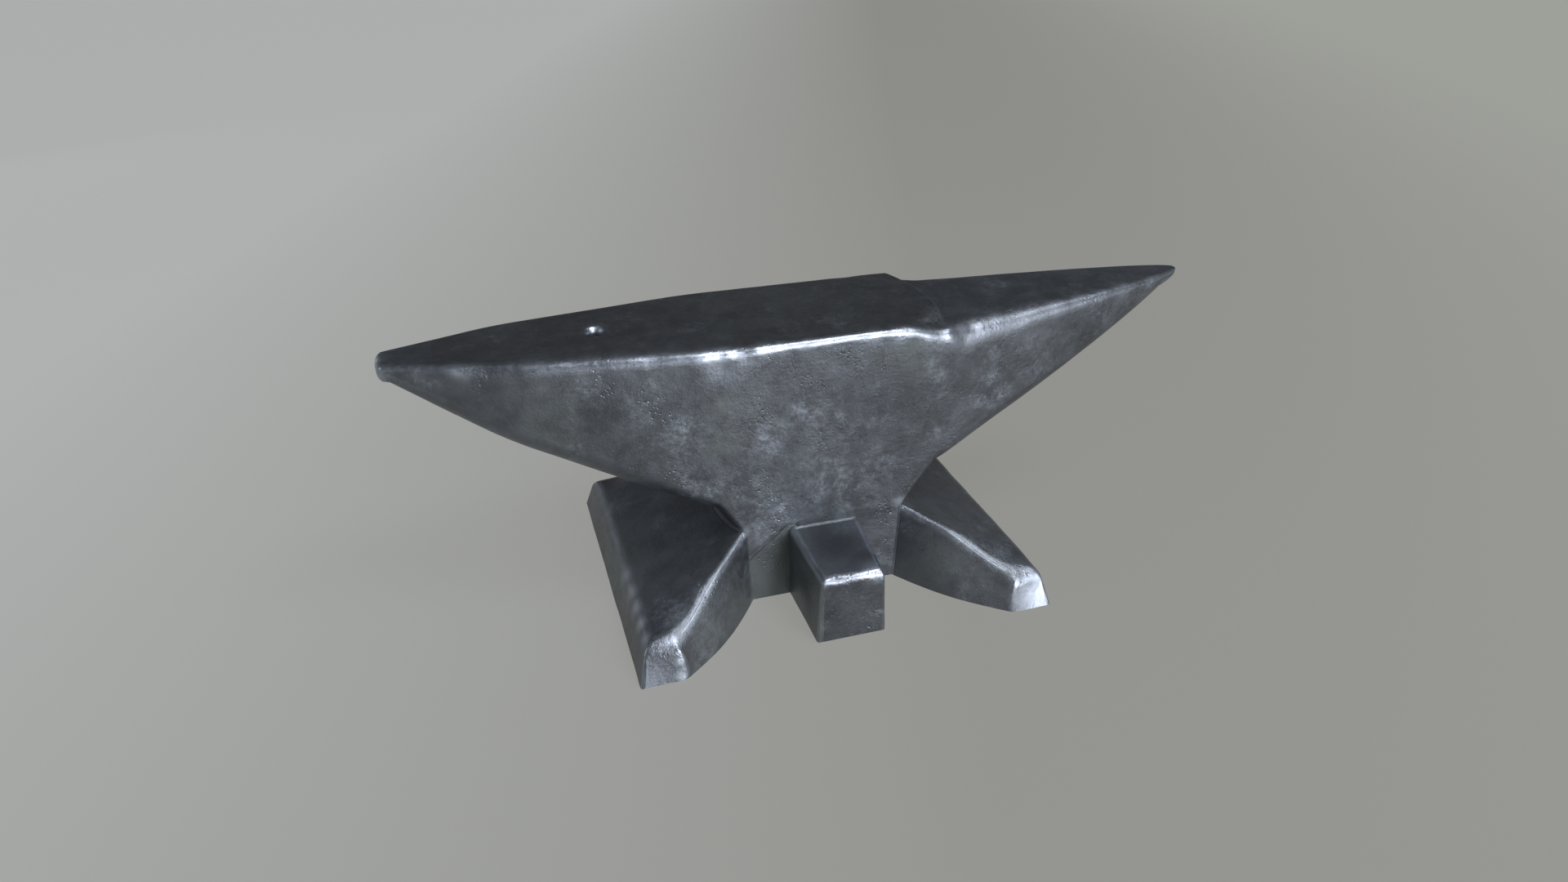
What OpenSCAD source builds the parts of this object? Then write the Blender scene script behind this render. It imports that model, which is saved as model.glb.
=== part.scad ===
// Double-horn anvil, built up from forgings that are welded face to face and faced with steel.
// Frame: origin at the centre of the base's underside, +X towards the round horn,
// -Y towards the upsetting block, +Z up. Millimetres.

/* [Working face] */
// Height of the working face above the floor
face_z = 241; // [226:1:260]
// Length of the face from the base's centre to the round horn
face_right = 100; // [96:1:110]
// Length of the face from the base's centre to the flat horn
face_left = 92; // [88:1:104]
// Width of the face
face_w = 131; // [125:1:140]
// Rounding of the face's long edges
face_edge_r = 4; // [2:0.5:8]
// How far the face's end bows out over the round horn
face_end_bow = 13; // [6:1:18]
// Thickness of the steel plates on the face and on the flat horn
plate_t = 14; // [11:0.5:18]

/* [Body] */
// How much narrower each side is at the waist than at the face
side_lean = 3; // [1:0.5:6]
// Height of the weld between the body and the base
waist_z = 74; // [70:1:78]
// Length of the waist's straight sides
waist_len = 139; // [130:1:150]
// How far the waist's ends bulge out past its corners
waist_bulge = 15; // [8:1:18]

/* [Round horn] */
// Length of the round horn past the face
round_len = 260; // [240:1:290]
// Width of the round horn at its root
round_root_w = 127; // [114:1:130]
// Width of the round horn at its point
round_tip_w = 5; // [3:0.5:8]
// Drop from the face to the top of the round horn at its root
round_drop = 7; // [5:0.5:10]
// Drop from the face to the round horn's point
round_tip_drop = 1; // [0:0.5:4]
// Height of the lower side edge at the round horn's root
round_edge_z = 118; // [112:1:126]
// Fullness of the round horn's taper: 1 is straight, less is fuller
round_taper = 0.64; // [0.6:0.02:0.8]
// Rounding of the round horn's long edges as a share of its half width
round_edge_share = 0.2; // [0.16:0.02:0.4]

/* [Flat horn] */
// Length of the flat horn past the face
flat_len = 247; // [240:1:275]
// Length of the flat horn's slow taper, from the face to its shoulder
flat_shoulder = 158; // [150:1:168]
// Width of the flat horn at its shoulder
flat_shoulder_w = 88; // [80:1:94]
// Width of the flat horn's blunt tip
flat_tip_w = 32; // [24:1:36]
// Length over which the tip rounds off
flat_tip_round = 10; // [6:1:12]
// Height of the lower side edge at the flat horn's root
flat_edge_z = 107; // [101:1:115]
// Rounding of the flat horn's long edges
flat_edge_r = 4; // [2:0.5:6]
// Length of the steel plate let in over the flat horn
flat_plate_len = 205; // [196:1:212]

/* [Pritchel hole] */
// Diameter of the pritchel hole
pritchel_d = 14; // [10:0.5:18]
// Distance of the hole from the end of the face
pritchel_out = 80; // [60:1:100]
// Distance of the hole from the centre line, towards the rear
pritchel_side = 7; // [0:1:12]

/* [Base] */
// Length of the base along the horns
base_len = 361; // [340:1:380]
// Width of the base across the horns
base_w = 292; // [276:1:310]
// Thickness of the feet at their outer top edge
foot_edge_h = 32; // [28:1:36]
// How far the feet's outer sides lean in from bottom to top
foot_side_lean = 8; // [3:1:10]
// How far the toes lean in from bottom to top
toe_lean = 13; // [6:1:16]
// Width of each toe along the horns
toe_len = 32; // [26:1:38]
// How far the feet's inner sides bow out at the floor
foot_bow = 8; // [0:1:11]

/* [Upsetting block] */
// Width of the block at the floor
block_w = 61; // [54:1:66]
// Width of the block's top where it meets the base
block_root_w = 64; // [58:1:66]
// Width of the block's top at its front
block_front_w = 54; // [50:1:58]
// How far the block stands out from the base
block_out = 72; // [60:1:80]
// Height of the block's top where it meets the base
block_root_z = 68; // [64:1:69]
// Height of the block's top at its front
block_front_z = 61; // [56:1:63]
// Rounding of the block's edges
block_edge_r = 3; // [1:0.5:5]

/* [Hidden] */

forged = "#4a4f57";
steel = "#5c6169";
plate_z = face_z - plate_t;
waist_x = waist_len / 2;
waist_w = face_w - 2 * side_lean;
flat_tip_x = -face_left - flat_len;
round_tip_x = face_right + round_len;
// Room past a cut, so that no two cut faces lie in one plane
past = 20;

// Depth of the crown under a horn as a share of its half width, at the root and at the tip
crown_root = 0.38;
crown_tip = 0.74;
// How far past the working face the round horn's lower edge aims, so that the point closes up
edge_aim = 4;
// Least height of a section's side between its rounded edge and its underside
least_side = 0.5;
// How much closer to the base's centre the feet's inner corners stand at the floor
notch_lean = 4;
// How much less the inner corner of a toe leans in than its outer corner
toe_skew = 4;
// Steps around a quarter of an edge rounding and of the crown under a section
edge_steps = 3;
crown_steps = 6;

function mix(a, b, t) = a + (b - a) * t;
function clamp01(t) = max(0, min(1, t));

// Cross-section at one station: flat top, rounded upper edges, straight sides and a crowned
// underside, which leans in towards the waist and is cut off level at the waist's height.
function lean_at(top, z) = side_lean * clamp01((top - z) / (face_z - waist_z));
function upper_edge(hw, top, r) =
    [for (i = [0:edge_steps]) let(a = 90 * i / edge_steps) [hw - r + r * sin(a), top - r + r * cos(a)]];
function underside(hw, top, edge, crown) = let(low = hw - lean_at(top, edge))
    [for (i = [0:crown_steps]) let(b = 90 * i / crown_steps)
        [low * cos(b), max(waist_z, edge - crown * sin(b))]];
// Ring at x through one half of a section and its mirror image
function ring(x, half, shared) = [for (p = concat(
    half,
    [for (i = [len(half) - 1 - shared:-1:0]) [-half[i][0], half[i][1]]]
)) [x, p[0], p[1]]];
// Three cuts of a section: the whole of it, what lies under a plate, and the plate itself
function full_ring(x, hw, top, edge, crown, r) =
    ring(x, concat(upper_edge(hw, top, r), underside(hw, top, min(edge, top - r - least_side), crown)), 1);
function core_ring(x, hw, top, edge, crown) =
    ring(x, concat([[hw, plate_z]], underside(hw, top, edge, crown)), 1);
function plate_ring(x, hw, top, r) =
    ring(x, concat(upper_edge(hw, top, r), [[hw, plate_z]]), 0);

// Closed solid through rings of equal length, each clockwise as seen from the last ring's side
module loft(rings) {
    n = len(rings[0]);
    last = (len(rings) - 1) * n;
    walls = [for (i = [0:len(rings) - 2], j = [0:n - 1]) let(k = (j + 1) % n, a = i * n, b = a + n)
        each [[a + j, b + k, b + j], [a + j, a + k, b + k]]];
    caps = [[for (j = [n - 1:-1:0]) j], [for (j = [0:n - 1]) last + j]];
    polyhedron([for (ring = rings) each ring], concat(walls, caps), convexity = 6);
}

// Lower side edge of the body: level over the waist, then rising steeply to each horn's root
function body_edge(x) = x < -waist_x
    ? mix(waist_z, flat_edge_z, (-x - waist_x) / (face_left - waist_x))
    : x > waist_x ? mix(waist_z, round_edge_z, (x - waist_x) / (face_right - waist_x)) : waist_z;
// Crown depth that brings the waist's ends out by the bulge
function body_crown(x) = x < 0
    ? waist_bulge * (flat_edge_z - waist_z) / (face_left - waist_x)
    : waist_bulge * (round_edge_z - waist_z) / (face_right - waist_x);
end_steps = 5;
body_stations = concat(
    [for (i = [0:end_steps]) -mix(face_left, waist_x, i / end_steps)],
    [for (i = [0:end_steps]) mix(waist_x, face_right, i / end_steps)]
);
module body_core() {
    color(forged) loft([for (x = body_stations)
        core_ring(x, face_w / 2, face_z, body_edge(x), body_crown(x))]);
}

// Plan of the face's end over the round horn: a shallow arc between the face's corners
bow_r = (pow(face_w / 2, 2) + pow(face_end_bow, 2)) / (2 * face_end_bow);
module face_end() {
    intersection() {
        translate([face_right + face_end_bow - bow_r, 0, plate_z]) {
            cylinder(r = bow_r, h = plate_t, $fn = 180);
        }
        translate([face_right, -face_w / 2, plate_z]) cube([face_end_bow + past, face_w, plate_t]);
    }
}

module face_plate() {
    color(steel) union() {
        loft([for (x = [-face_left, face_right]) plate_ring(x, face_w / 2, face_z, face_edge_r)]);
        face_end();
    }
}

// Round horn: both sides taper to the point along a power curve, the lower edge rises straight.
// The stations crowd together towards the point by the power given here.
round_steps = 16;
round_crowding = 1.4;
module round_form() {
    loft([for (i = [0:round_steps]) let(
            t = 1 - pow(1 - i / round_steps, round_crowding),
            hw = mix(round_tip_w, round_root_w, pow(1 - t, round_taper)) / 2,
            top = face_z - mix(round_drop, round_tip_drop, t))
        full_ring(mix(face_right, round_tip_x, t), hw, top, mix(round_edge_z, face_z + edge_aim, t),
            mix(crown_root, crown_tip, t) * hw, round_edge_share * hw)]);
}

module round_horn() {
    color(forged) difference() {
        round_form();
        face_end();
    }
}

// Flat horn: a slow straight taper to the shoulder, a quicker one to the tip, then a rounded end
shoulder_t = flat_shoulder / flat_len;
plate_end_t = flat_plate_len / flat_len;
round_off_t = 1 - flat_tip_round / flat_len;
flat_steps = 5;
tip_steps = 5;
// The tip's rounding stops at this angle and leaves a small blunt end
tip_turn = 75;
function spread(from, to, steps) = [for (i = [0:steps]) mix(from, to, i / steps)];
tip_shares = concat(
    spread(plate_end_t, round_off_t, flat_steps),
    [for (i = [1:tip_steps]) mix(round_off_t, 1, sin(tip_turn * i / tip_steps))]
);
under_plate_shares = concat(
    spread(0, shoulder_t, 2 * flat_steps),
    [for (i = [1:flat_steps]) mix(shoulder_t, plate_end_t, i / flat_steps)]
);
function flat_x(t) = mix(-face_left, flat_tip_x, t);
function flat_half_w(t) = t < shoulder_t
    ? mix(face_w, flat_shoulder_w, t / shoulder_t) / 2
    : mix(flat_shoulder_w, flat_tip_w, clamp01((t - shoulder_t) / (round_off_t - shoulder_t))) / 2;
function flat_edge(t) = mix(flat_edge_z, face_z - 1, t);
function flat_crown(t) = mix(crown_root, crown_tip, t) * flat_half_w(t);
function tip_share(t) = sqrt(1 - pow(max(0, (t - round_off_t) / (1 - round_off_t)), 2));
function tip_ring(t) = let(share = tip_share(t), top = face_z - flat_tip_round * (1 - share) / 2)
    full_ring(flat_x(t), flat_half_w(t) * share, top, flat_edge(t), flat_crown(t) * share,
        min(flat_edge_r, flat_half_w(t) * share / 2));

// The list runs outwards, and a loft runs along +X
module outward_loft(rings) {
    loft([for (i = [len(rings) - 1:-1:0]) rings[i]]);
}

module pritchel_bore() {
    translate([-face_left - pritchel_out, pritchel_side, -past]) {
        cylinder(d = pritchel_d, h = face_z + 2 * past, $fn = 64);
    }
}

module flat_horn() {
    color(forged) difference() {
        union() {
            outward_loft([for (t = under_plate_shares)
                core_ring(flat_x(t), flat_half_w(t), face_z, flat_edge(t), flat_crown(t))]);
            outward_loft([for (t = tip_shares) tip_ring(t)]);
        }
        pritchel_bore();
    }
}

module flat_horn_plate() {
    color(steel) difference() {
        outward_loft([for (t = [0, shoulder_t, plate_end_t])
            plate_ring(flat_x(t), flat_half_w(t), face_z, flat_edge_r)]);
        pritchel_bore();
    }
}

// Plan of the waist: straight sides and ends that bulge as half ellipses
waist_steps = 12;
function waist_plan() = [for (side = [1, -1], i = [0:waist_steps]) let(a = 180 * i / waist_steps - 90)
    [side * (waist_x + waist_bulge * cos(a)), side * waist_w / 2 * sin(a)]];

module base_core() {
    color(forged) linear_extrude(waist_z) polygon(waist_plan());
}

// Corner forging: plan rings at the floor and on the sloping top, then cut to fit the core
foot_slope = (waist_z - foot_edge_h) / (base_len / 2 - foot_side_lean - waist_x);
side_steps = 8;
// Inner side in plan: a chord from the core's corner to the toe, bowed by a half sine
function side_run(from, to, bow) = [for (i = [0:side_steps]) let(
        t = i / side_steps,
        run = to - from,
        out = bow * sin(180 * t) / norm(run))
    from + run * t + [-run[1], run[0]] * out];
function foot_plan(corner_x, toe_x, toe_y, edge_x, outer_y, bow) = concat(
    [[waist_x / 2, 0], [waist_x / 2, waist_w / 4]],
    side_run([corner_x, waist_w / 2], [toe_x, toe_y], bow),
    [[edge_x, outer_y], [edge_x, 0]]
);
module foot_form() {
    out_x = base_len / 2;
    out_y = base_w / 2;
    top_x = out_x - foot_side_lean;
    floor_ring = foot_plan(waist_x - notch_lean, out_x - toe_len, out_y, out_x, out_y, foot_bow);
    top_y = out_y - toe_lean;
    top_ring = foot_plan(waist_x, out_x - toe_len, top_y + toe_skew, top_x, top_y, 0);
    n = len(floor_ring);
    points = concat(
        [for (p = floor_ring) [p[0], p[1], 0]],
        [for (p = top_ring) [p[0], p[1], foot_edge_h + (top_x - p[0]) * foot_slope]]
    );
    walls = [for (j = [0:n - 1]) let(k = (j + 1) % n) each [[j, n + k, n + j], [j, k, n + k]]];
    caps = [[for (j = [n - 1:-1:0]) j], [for (j = [0:n - 1]) n + j]];
    polyhedron(points, concat(walls, caps), convexity = 6);
}

module foot(side_x, side_y) {
    color(forged) difference() {
        mirror([side_x < 0 ? 1 : 0, 0, 0]) mirror([0, side_y < 0 ? 1 : 0, 0]) foot_form();
        translate([0, 0, -past]) linear_extrude(waist_z + 2 * past) polygon(waist_plan());
    }
}

// Upsetting block: a stub with rounded upper edges that tapers slightly towards its front
function block_corner(side, top_w, h, a) =
    [side * (top_w / 2 - block_edge_r * (1 - cos(a))), h - block_edge_r * (1 - sin(a))];
function block_ring(y, floor_w, top_w, h) = [for (p = concat(
        [[-floor_w / 2, 0]],
        [for (i = [0:edge_steps]) block_corner(-1, top_w, h, 90 * i / edge_steps)],
        [for (i = [edge_steps:-1:0]) block_corner(1, top_w, h, 90 * i / edge_steps)],
        [[floor_w / 2, 0]]
    )) [p[0], y, p[1]]];
module upsetting_block() {
    root_y = -waist_w / 2;
    color(forged) loft([
        block_ring(root_y, block_w, block_root_w, block_root_z),
        block_ring(root_y - block_out, block_w, block_front_w, block_front_z)
    ]);
}

body_core();
face_plate();
flat_horn();
flat_horn_plate();
round_horn();
base_core();
foot(-1, -1);  // front_left_foot
foot(1, -1);  // front_right_foot
foot(-1, 1);  // rear_left_foot
foot(1, 1);  // rear_right_foot
upsetting_block();
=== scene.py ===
"""Double-horn anvil: forged iron body, horns and base with welded steel faces.

Laid out as a Blender add-on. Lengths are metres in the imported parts' own frame, except in the
lists of marks and patches, which are in millimetres.
"""

import bmesh
import bpy
import numpy as np
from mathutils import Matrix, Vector


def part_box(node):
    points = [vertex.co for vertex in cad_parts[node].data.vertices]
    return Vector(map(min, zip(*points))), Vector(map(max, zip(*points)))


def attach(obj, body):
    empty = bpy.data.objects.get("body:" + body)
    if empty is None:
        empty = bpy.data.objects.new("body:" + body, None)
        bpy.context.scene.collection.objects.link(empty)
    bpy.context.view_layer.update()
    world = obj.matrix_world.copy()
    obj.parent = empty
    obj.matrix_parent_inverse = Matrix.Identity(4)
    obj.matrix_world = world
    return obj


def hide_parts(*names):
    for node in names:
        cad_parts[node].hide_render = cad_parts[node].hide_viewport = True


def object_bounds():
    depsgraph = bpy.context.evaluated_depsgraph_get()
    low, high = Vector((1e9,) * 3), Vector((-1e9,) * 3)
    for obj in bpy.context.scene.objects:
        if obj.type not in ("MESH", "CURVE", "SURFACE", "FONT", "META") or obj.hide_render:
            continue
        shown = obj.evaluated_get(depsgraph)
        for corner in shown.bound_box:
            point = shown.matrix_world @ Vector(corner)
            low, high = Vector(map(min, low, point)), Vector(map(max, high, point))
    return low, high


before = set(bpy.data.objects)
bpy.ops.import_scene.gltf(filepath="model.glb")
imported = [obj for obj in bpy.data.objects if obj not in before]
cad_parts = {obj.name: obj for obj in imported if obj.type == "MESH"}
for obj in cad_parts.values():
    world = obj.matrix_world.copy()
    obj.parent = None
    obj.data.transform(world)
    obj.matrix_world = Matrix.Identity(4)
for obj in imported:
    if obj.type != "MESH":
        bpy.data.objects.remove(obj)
cad_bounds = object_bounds()

bl_info = {
    "name": "Double-horn anvil",
    "version": (1, 0, 0),
    "blender": (4, 5, 0),
    "location": "View3D > Sidebar > Anvil",
    "description": "Forged surfaces, finishes and stage for a double-horn anvil",
    "category": "Object",
}

MM = 0.001
LOW = {node: np.array(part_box(node)[0]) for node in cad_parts}
HIGH = {node: np.array(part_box(node)[1]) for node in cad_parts}

FACE_Z = HIGH["face_plate"][2]
PLATE_Z = LOW["face_plate"][2]
FACE_LEFT = LOW["body_core"][0]
FACE_RIGHT = HIGH["body_core"][0]
FACE_BOW = HIGH["face_plate"][0] - FACE_RIGHT
FACE_HALF = HIGH["face_plate"][1]
WAIST_Z = LOW["body_core"][2]
WAIST_HALF = HIGH["base_core"][1]
WAIST_END = HIGH["base_core"][0]
ROUND_TIP = HIGH["round_horn"][0]
FLAT_TIP = LOW["flat_horn"][0]
FLAT_PLATE_END = LOW["flat_horn_plate"][0]
FOOT_X = HIGH["front_right_foot"][0]
FOOT_Y = HIGH["rear_right_foot"][1]
BLOCK_Y = LOW["upsetting_block"][1]
BLOCK_ROOT_Y, BLOCK_ROOT_Z = HIGH["upsetting_block"][1:]

# How far a piece reaches into its neighbour behind their weld
SEAT_DEPTH = 0.0018
HORN_SEAT_DEPTH = 0.0005
# Points closer than this are one
MERGE = 1e-6
# Edges sharper than this angle, in degrees, are shaded as sharp
SHARP_ANGLE = 50.0


# ---------------------------------------------------------------------------------------------
# Sizes and colours


def length(name, text, value, low=0.0, high=1.0):
    """A setting in metres."""
    return bpy.props.FloatProperty(
        name=name, description=text, default=value, min=low, max=high, unit="LENGTH", precision=4
    )


def share(name, text, value, high=1.0):
    """A setting that is a share of something."""
    return bpy.props.FloatProperty(
        name=name, description=text, default=value, min=0.0, max=high, subtype="FACTOR"
    )


def colour(name, text, value):
    """A setting that is a colour."""
    return bpy.props.FloatVectorProperty(
        name=name, description=text, default=value, size=3, min=0.0, max=1.0, subtype="COLOR"
    )


class AnvilSizes(bpy.types.PropertyGroup):
    """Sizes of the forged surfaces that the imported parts' boxes don't already give."""

    mesh_step: length("Mesh step", "Spacing of the surface points", 0.00125, 0.0005, 0.01)
    step_edge: length("Step rounding", "Rounding at the face's end over the round horn", 0.0035)
    step_fillet: length("Step fillet", "Hollow at the foot of the face's end", 0.0028)
    round_root_w: length("Round horn root", "Width of the round horn at its root", 0.127)
    round_tip_w: length("Round horn tip", "Width of the round horn at its point", 0.005)
    round_drop: length("Round horn drop", "Drop from the face to the horn's root", 0.007)
    round_tip_drop: length("Round tip drop", "Drop from the face to the horn's point", 0.001)
    round_edge_z: length("Round horn edge", "Height of the side's lower edge at the root", 0.118)
    round_taper: share("Round horn taper", "Fullness of the taper", 0.64)
    round_edge_share: share("Round horn rounding", "Edge rounding, share of half width", 0.22)
    flat_len: length("Flat horn", "Length of the flat horn past the body", 0.247)
    flat_shoulder: length("Flat horn shoulder", "Length of the slow taper", 0.158)
    flat_shoulder_w: length("Flat shoulder width", "Width at the shoulder", 0.088)
    flat_tip_w: length("Flat horn tip", "Width of the blunt tip", 0.032)
    flat_tip_round: length("Flat tip rounding", "Length over which the tip rounds off", 0.006)
    flat_edge_z: length("Flat horn edge", "Height of the side's lower edge at the root", 0.107)
    waist_x: length("Waist half length", "Half the length of the waist's straight sides", 0.0695)
    side_lean: length("Side lean", "How much each side leans in down to the waist", 0.003)
    lean_height: length("Lean height", "Height over which the side leans in", 0.167)
    pritchel_x: length("Pritchel hole X", "Place of the pritchel hole", -0.172, -1.0)
    pritchel_y: length("Pritchel hole Y", "Place of the pritchel hole", 0.007, -1.0)
    pritchel_d: length("Pritchel hole", "Diameter of the pritchel hole", 0.014)
    dish_r: length("Dish", "Reach of the worn dish round the pritchel hole", 0.0125)
    dish_depth: length("Dish depth", "Depth of the worn dish", 0.0015)
    funnel_w: length("Funnel", "Width of the pritchel hole's rounded rim", 0.0032)
    funnel_depth: length("Funnel depth", "Depth of the pritchel hole's rounded rim", 0.0036)
    foot_edge_z: length("Foot edge height", "Thickness of the feet at the outer edge", 0.032)
    foot_lean: length("Foot side lean", "How far the outer sides lean in", 0.008)
    toe_lean: length("Toe lean", "How far the toes lean in", 0.013)
    toe_len: length("Toe width", "Width of each toe along the horns", 0.032)
    toe_spread: length("Toe spread", "How much wider each toe is on the floor", 0.005)
    foot_bow: length("Foot side bow", "How far the inner sides bow out at the floor", 0.006)
    block_w: length("Block width", "Width of the upsetting block at the floor", 0.061)
    block_root_w: length("Block root", "Width of its top at the base", 0.064)
    block_front_w: length("Block front", "Width of its top at the front", 0.054)
    block_front_z: length("Block front height", "Height of its top at the front", 0.061)
    plinth_z: length("Plinth edge", "Height of the plinth's slanting edge at its left end", 0.0449)
    plinth_depth: length("Plinth depth", "How far the plinth's face stands back", 0.0016)


class AnvilFinish(bpy.types.PropertyGroup):
    """Colours and surface detail of the forged iron and the steel faces."""

    iron_dark: colour("Iron, dark", "Oiled shadow tone of the forged sides", (0.115, 0.121, 0.133))
    iron_mid: colour("Iron, middle", "Main tone of the forged sides", (0.156, 0.168, 0.188))
    iron_light: colour("Iron, light", "Cloudy rubbed patches", (0.36, 0.395, 0.445))
    # The steel's two tones go only on faces that look up, and are darker than the iron's: painted shade.
    top_shade_dark: colour("Steel, dark", "Dark tone of the working faces", (0.100, 0.103, 0.108))
    top_shade_mid: colour("Steel, middle", "Main tone of the working faces", (0.135, 0.140, 0.148))
    # The worn colour also paints the listed highlights.
    worn: colour("Worn edge", "Bare metal on rubbed edges", (0.52, 0.56, 0.64))
    # This colour also paints the listed shade.
    dirt_and_shade: colour("Pit dirt", "Old oil and scale in pits and hollows", (0.040, 0.041, 0.044))
    # The oxide colour is also painted shade on the plinth and on low sheltered faces.
    oxide: colour("Oxide", "Dull greenish skin on sheltered faces", (0.175, 0.196, 0.192))
    wave: share("Waviness", "Share of the forging's long waves", 1.0, 3.0)
    pitting: share("Pitting", "Share of the pits' depth", 1.0, 3.0)


class AnvilStage(bpy.types.PropertyGroup):
    """Camera, floor and lamps."""

    floor_left: colour("Floor, left", "Floor colour to the left", (0.462, 0.477, 0.471))
    floor_right: colour("Floor, middle", "Floor colour in the middle", (0.297, 0.295, 0.276))
    floor_far: colour("Floor, right", "Floor colour far to the right", (0.388, 0.395, 0.363))
    floor_glow: share("Floor evenness", "Share of the floor's colour that is free of shade", 0.87)
    world_tone: colour("World", "Light from all round", (0.52, 0.56, 0.60))
    world_power: bpy.props.FloatProperty(name="World", description="World strength", default=0.20)
    lens: bpy.props.FloatProperty(name="Lens", description="Focal length, mm", default=24.45)
    key_power: bpy.props.FloatProperty(name="Key", description="Low front lamp, W", default=37.0)
    top_power: bpy.props.FloatProperty(name="Top", description="Overhead front lamp, W", default=26.0)
    edge_power: bpy.props.FloatProperty(name="Edge", description="High front lamp, W", default=9.5)
    rim_power: bpy.props.FloatProperty(name="Rim", description="Lamp behind on the left, W", default=1.6)
    fill_power: bpy.props.FloatProperty(name="Fill", description="Left lamp, W", default=9.0)


# ---------------------------------------------------------------------------------------------
# Numbers in, numbers out: noise and blends on whole arrays


def mix(a, b, t):
    """The value a share t of the way from a to b."""
    return a + (b - a) * t


def ramp(low, high, value):
    """Smooth step: 0 below low, 1 above high, 3t^2 - 2t^3 between."""
    t = np.clip((value - low) / (high - low), 0, 1)
    return t * t * (3 - 2 * t)


def hashed(cell, seed):
    """A fixed number from 0 to 1 for each whole-number lattice point, by mixing its bits."""
    c = (cell & 0xFFFFFFFF).astype(np.uint32)
    n = c[..., 0] * np.uint32(0x9E3779B1) ^ c[..., 1] * np.uint32(0x85EBCA77)
    n ^= c[..., 2] * np.uint32(0xC2B2AE3D) ^ np.uint32(seed * 668265263 & 0xFFFFFFFF)
    for shift, factor in ((15, 0x2C1B3C6D), (12, 0x297A2D39)):
        n = (n ^ (n >> np.uint32(shift))) * np.uint32(factor)
    return (n ^ (n >> np.uint32(15))) / 4294967296.0


# Turns the noise's lattice away from the part's own planes
TURN = np.array([[0.36, 0.48, -0.8], [-0.8, 0.6, 0.0], [0.48, 0.64, 0.6]])


def clouds(points, size, seed):
    """Smooth noise from -1 to 1: lattice values at the given size, blended by 6t^5-15t^4+10t^3."""
    q = points @ TURN / size
    cell = np.floor(q).astype(np.int64)
    f = q - cell
    f = f * f * f * (f * (f * 6 - 15) + 10)
    total = 0.0
    for corner in np.ndindex(2, 2, 2):
        weight = np.prod([f[..., k] if c else 1 - f[..., k] for k, c in enumerate(corner)], axis=0)
        total = total + weight * hashed(cell + np.array(corner), seed)
    return total * 2 - 1


def pits(points, size, chance, seed):
    """Round pits of mixed size, at most one to a cell: (1 - (d / r)^2)^2 around each centre."""
    q = points / size + 0.28 * clouds(points, size * 0.45, seed + 9)[..., None]
    cell = np.floor(q).astype(np.int64)
    depth = np.zeros(points.shape[:-1])
    for corner in np.ndindex(3, 3, 3):
        c = cell + np.array(corner) - 1
        centre = c + 0.15 + 0.7 * np.stack([hashed(c, seed + k) for k in range(3)], axis=-1)
        radius = 0.18 + 0.42 * hashed(c, seed + 3) ** 2
        near = np.sum((q - centre) ** 2, axis=-1) / radius**2
        depth = np.maximum(depth, (hashed(c, seed + 4) < chance) * np.clip(1 - near, 0, 1) ** 2)
    return depth


# Marks of use, in millimetres: centre, radii, and depth of the hollow (negative stands proud)
MARKS = (
    ((-262, -42, 237), (12, 6, 6), 2.6),
    ((-245, -46, 236), (9, 6, 6), 1.2),
    ((-281, -35, 238), (6, 5, 5), -0.7),
    ((-71, -64, 240), (8, 6, 6), 2.2),
    ((-88, -66, 226), (9, 8, 10), 1.0),
    ((89, -48, 236), (6, 5, 6), 1.7),
    ((97, -63, 230), (6, 6, 7), 0.6),
    ((84, -65, 226), (7, 4, 8), -0.4),
    ((104, -64, 224), (10, 5, 11), -0.4),
    ((114, -60, 233), (5, 8, 8), 0.6),
    ((124, -60, 233), (4, 8, 8), -0.6),
    ((132, -59, 233), (3.5, 8, 7), 0.8),
    ((141, -58, 234), (3.5, 8, 7), -0.5),
    ((148, -57, 234), (3.5, 8, 7), 0.7),
    ((66, -64, 240), (6, 4, 4), 0.8),
    ((30, -65, 240), (5, 4, 4), 0.8),
    ((-20, -65, 240), (7, 4, 4), 0.7),
    ((-140, -58, 240), (8, 5, 4), 0.8),
    ((-200, -51, 240), (7, 5, 4), 0.6),
    ((60, 66, 242), (9, 4, 4), 0.8),
    ((-178, -60, 30), (4, 9, 4), 0.7),
    ((-176, 20, 30), (4, 12, 4), 0.8),
    ((178, 60, 30), (4, 12, 4), 0.8),
    ((24, -134, 60), (8, 4, 4), 1.2),
    ((-12, -134, 61), (6, 4, 3), 0.8),
)
# Where pits crowd together: centre and radius in millimetres
CROWDS = (
    ((-63, -64, 172), 20),
    ((-6, -63, 152), 24),
    ((138, -60, 236), 20),
    ((150, -57, 232), 16),
    ((186, -50, 232), 9),
    ((212, -48, 236), 8),
    ((258, -40, 238), 8),
    ((62, -65, 240), 12),
    ((-50, -63, 64), 16),
    ((-262, -42, 236), 14),
    ((-160, -139, 26), 7),
    ((152, -139, 30), 8),
    ((0, -134, 62), 20),
    ((30, 64, 180), 26),
    ((-50, 64, 120), 22),
    ((180, 50, 205), 22),
    ((-180, 52, 190), 20),
    ((150, 20, 50), 16),
)


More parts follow.
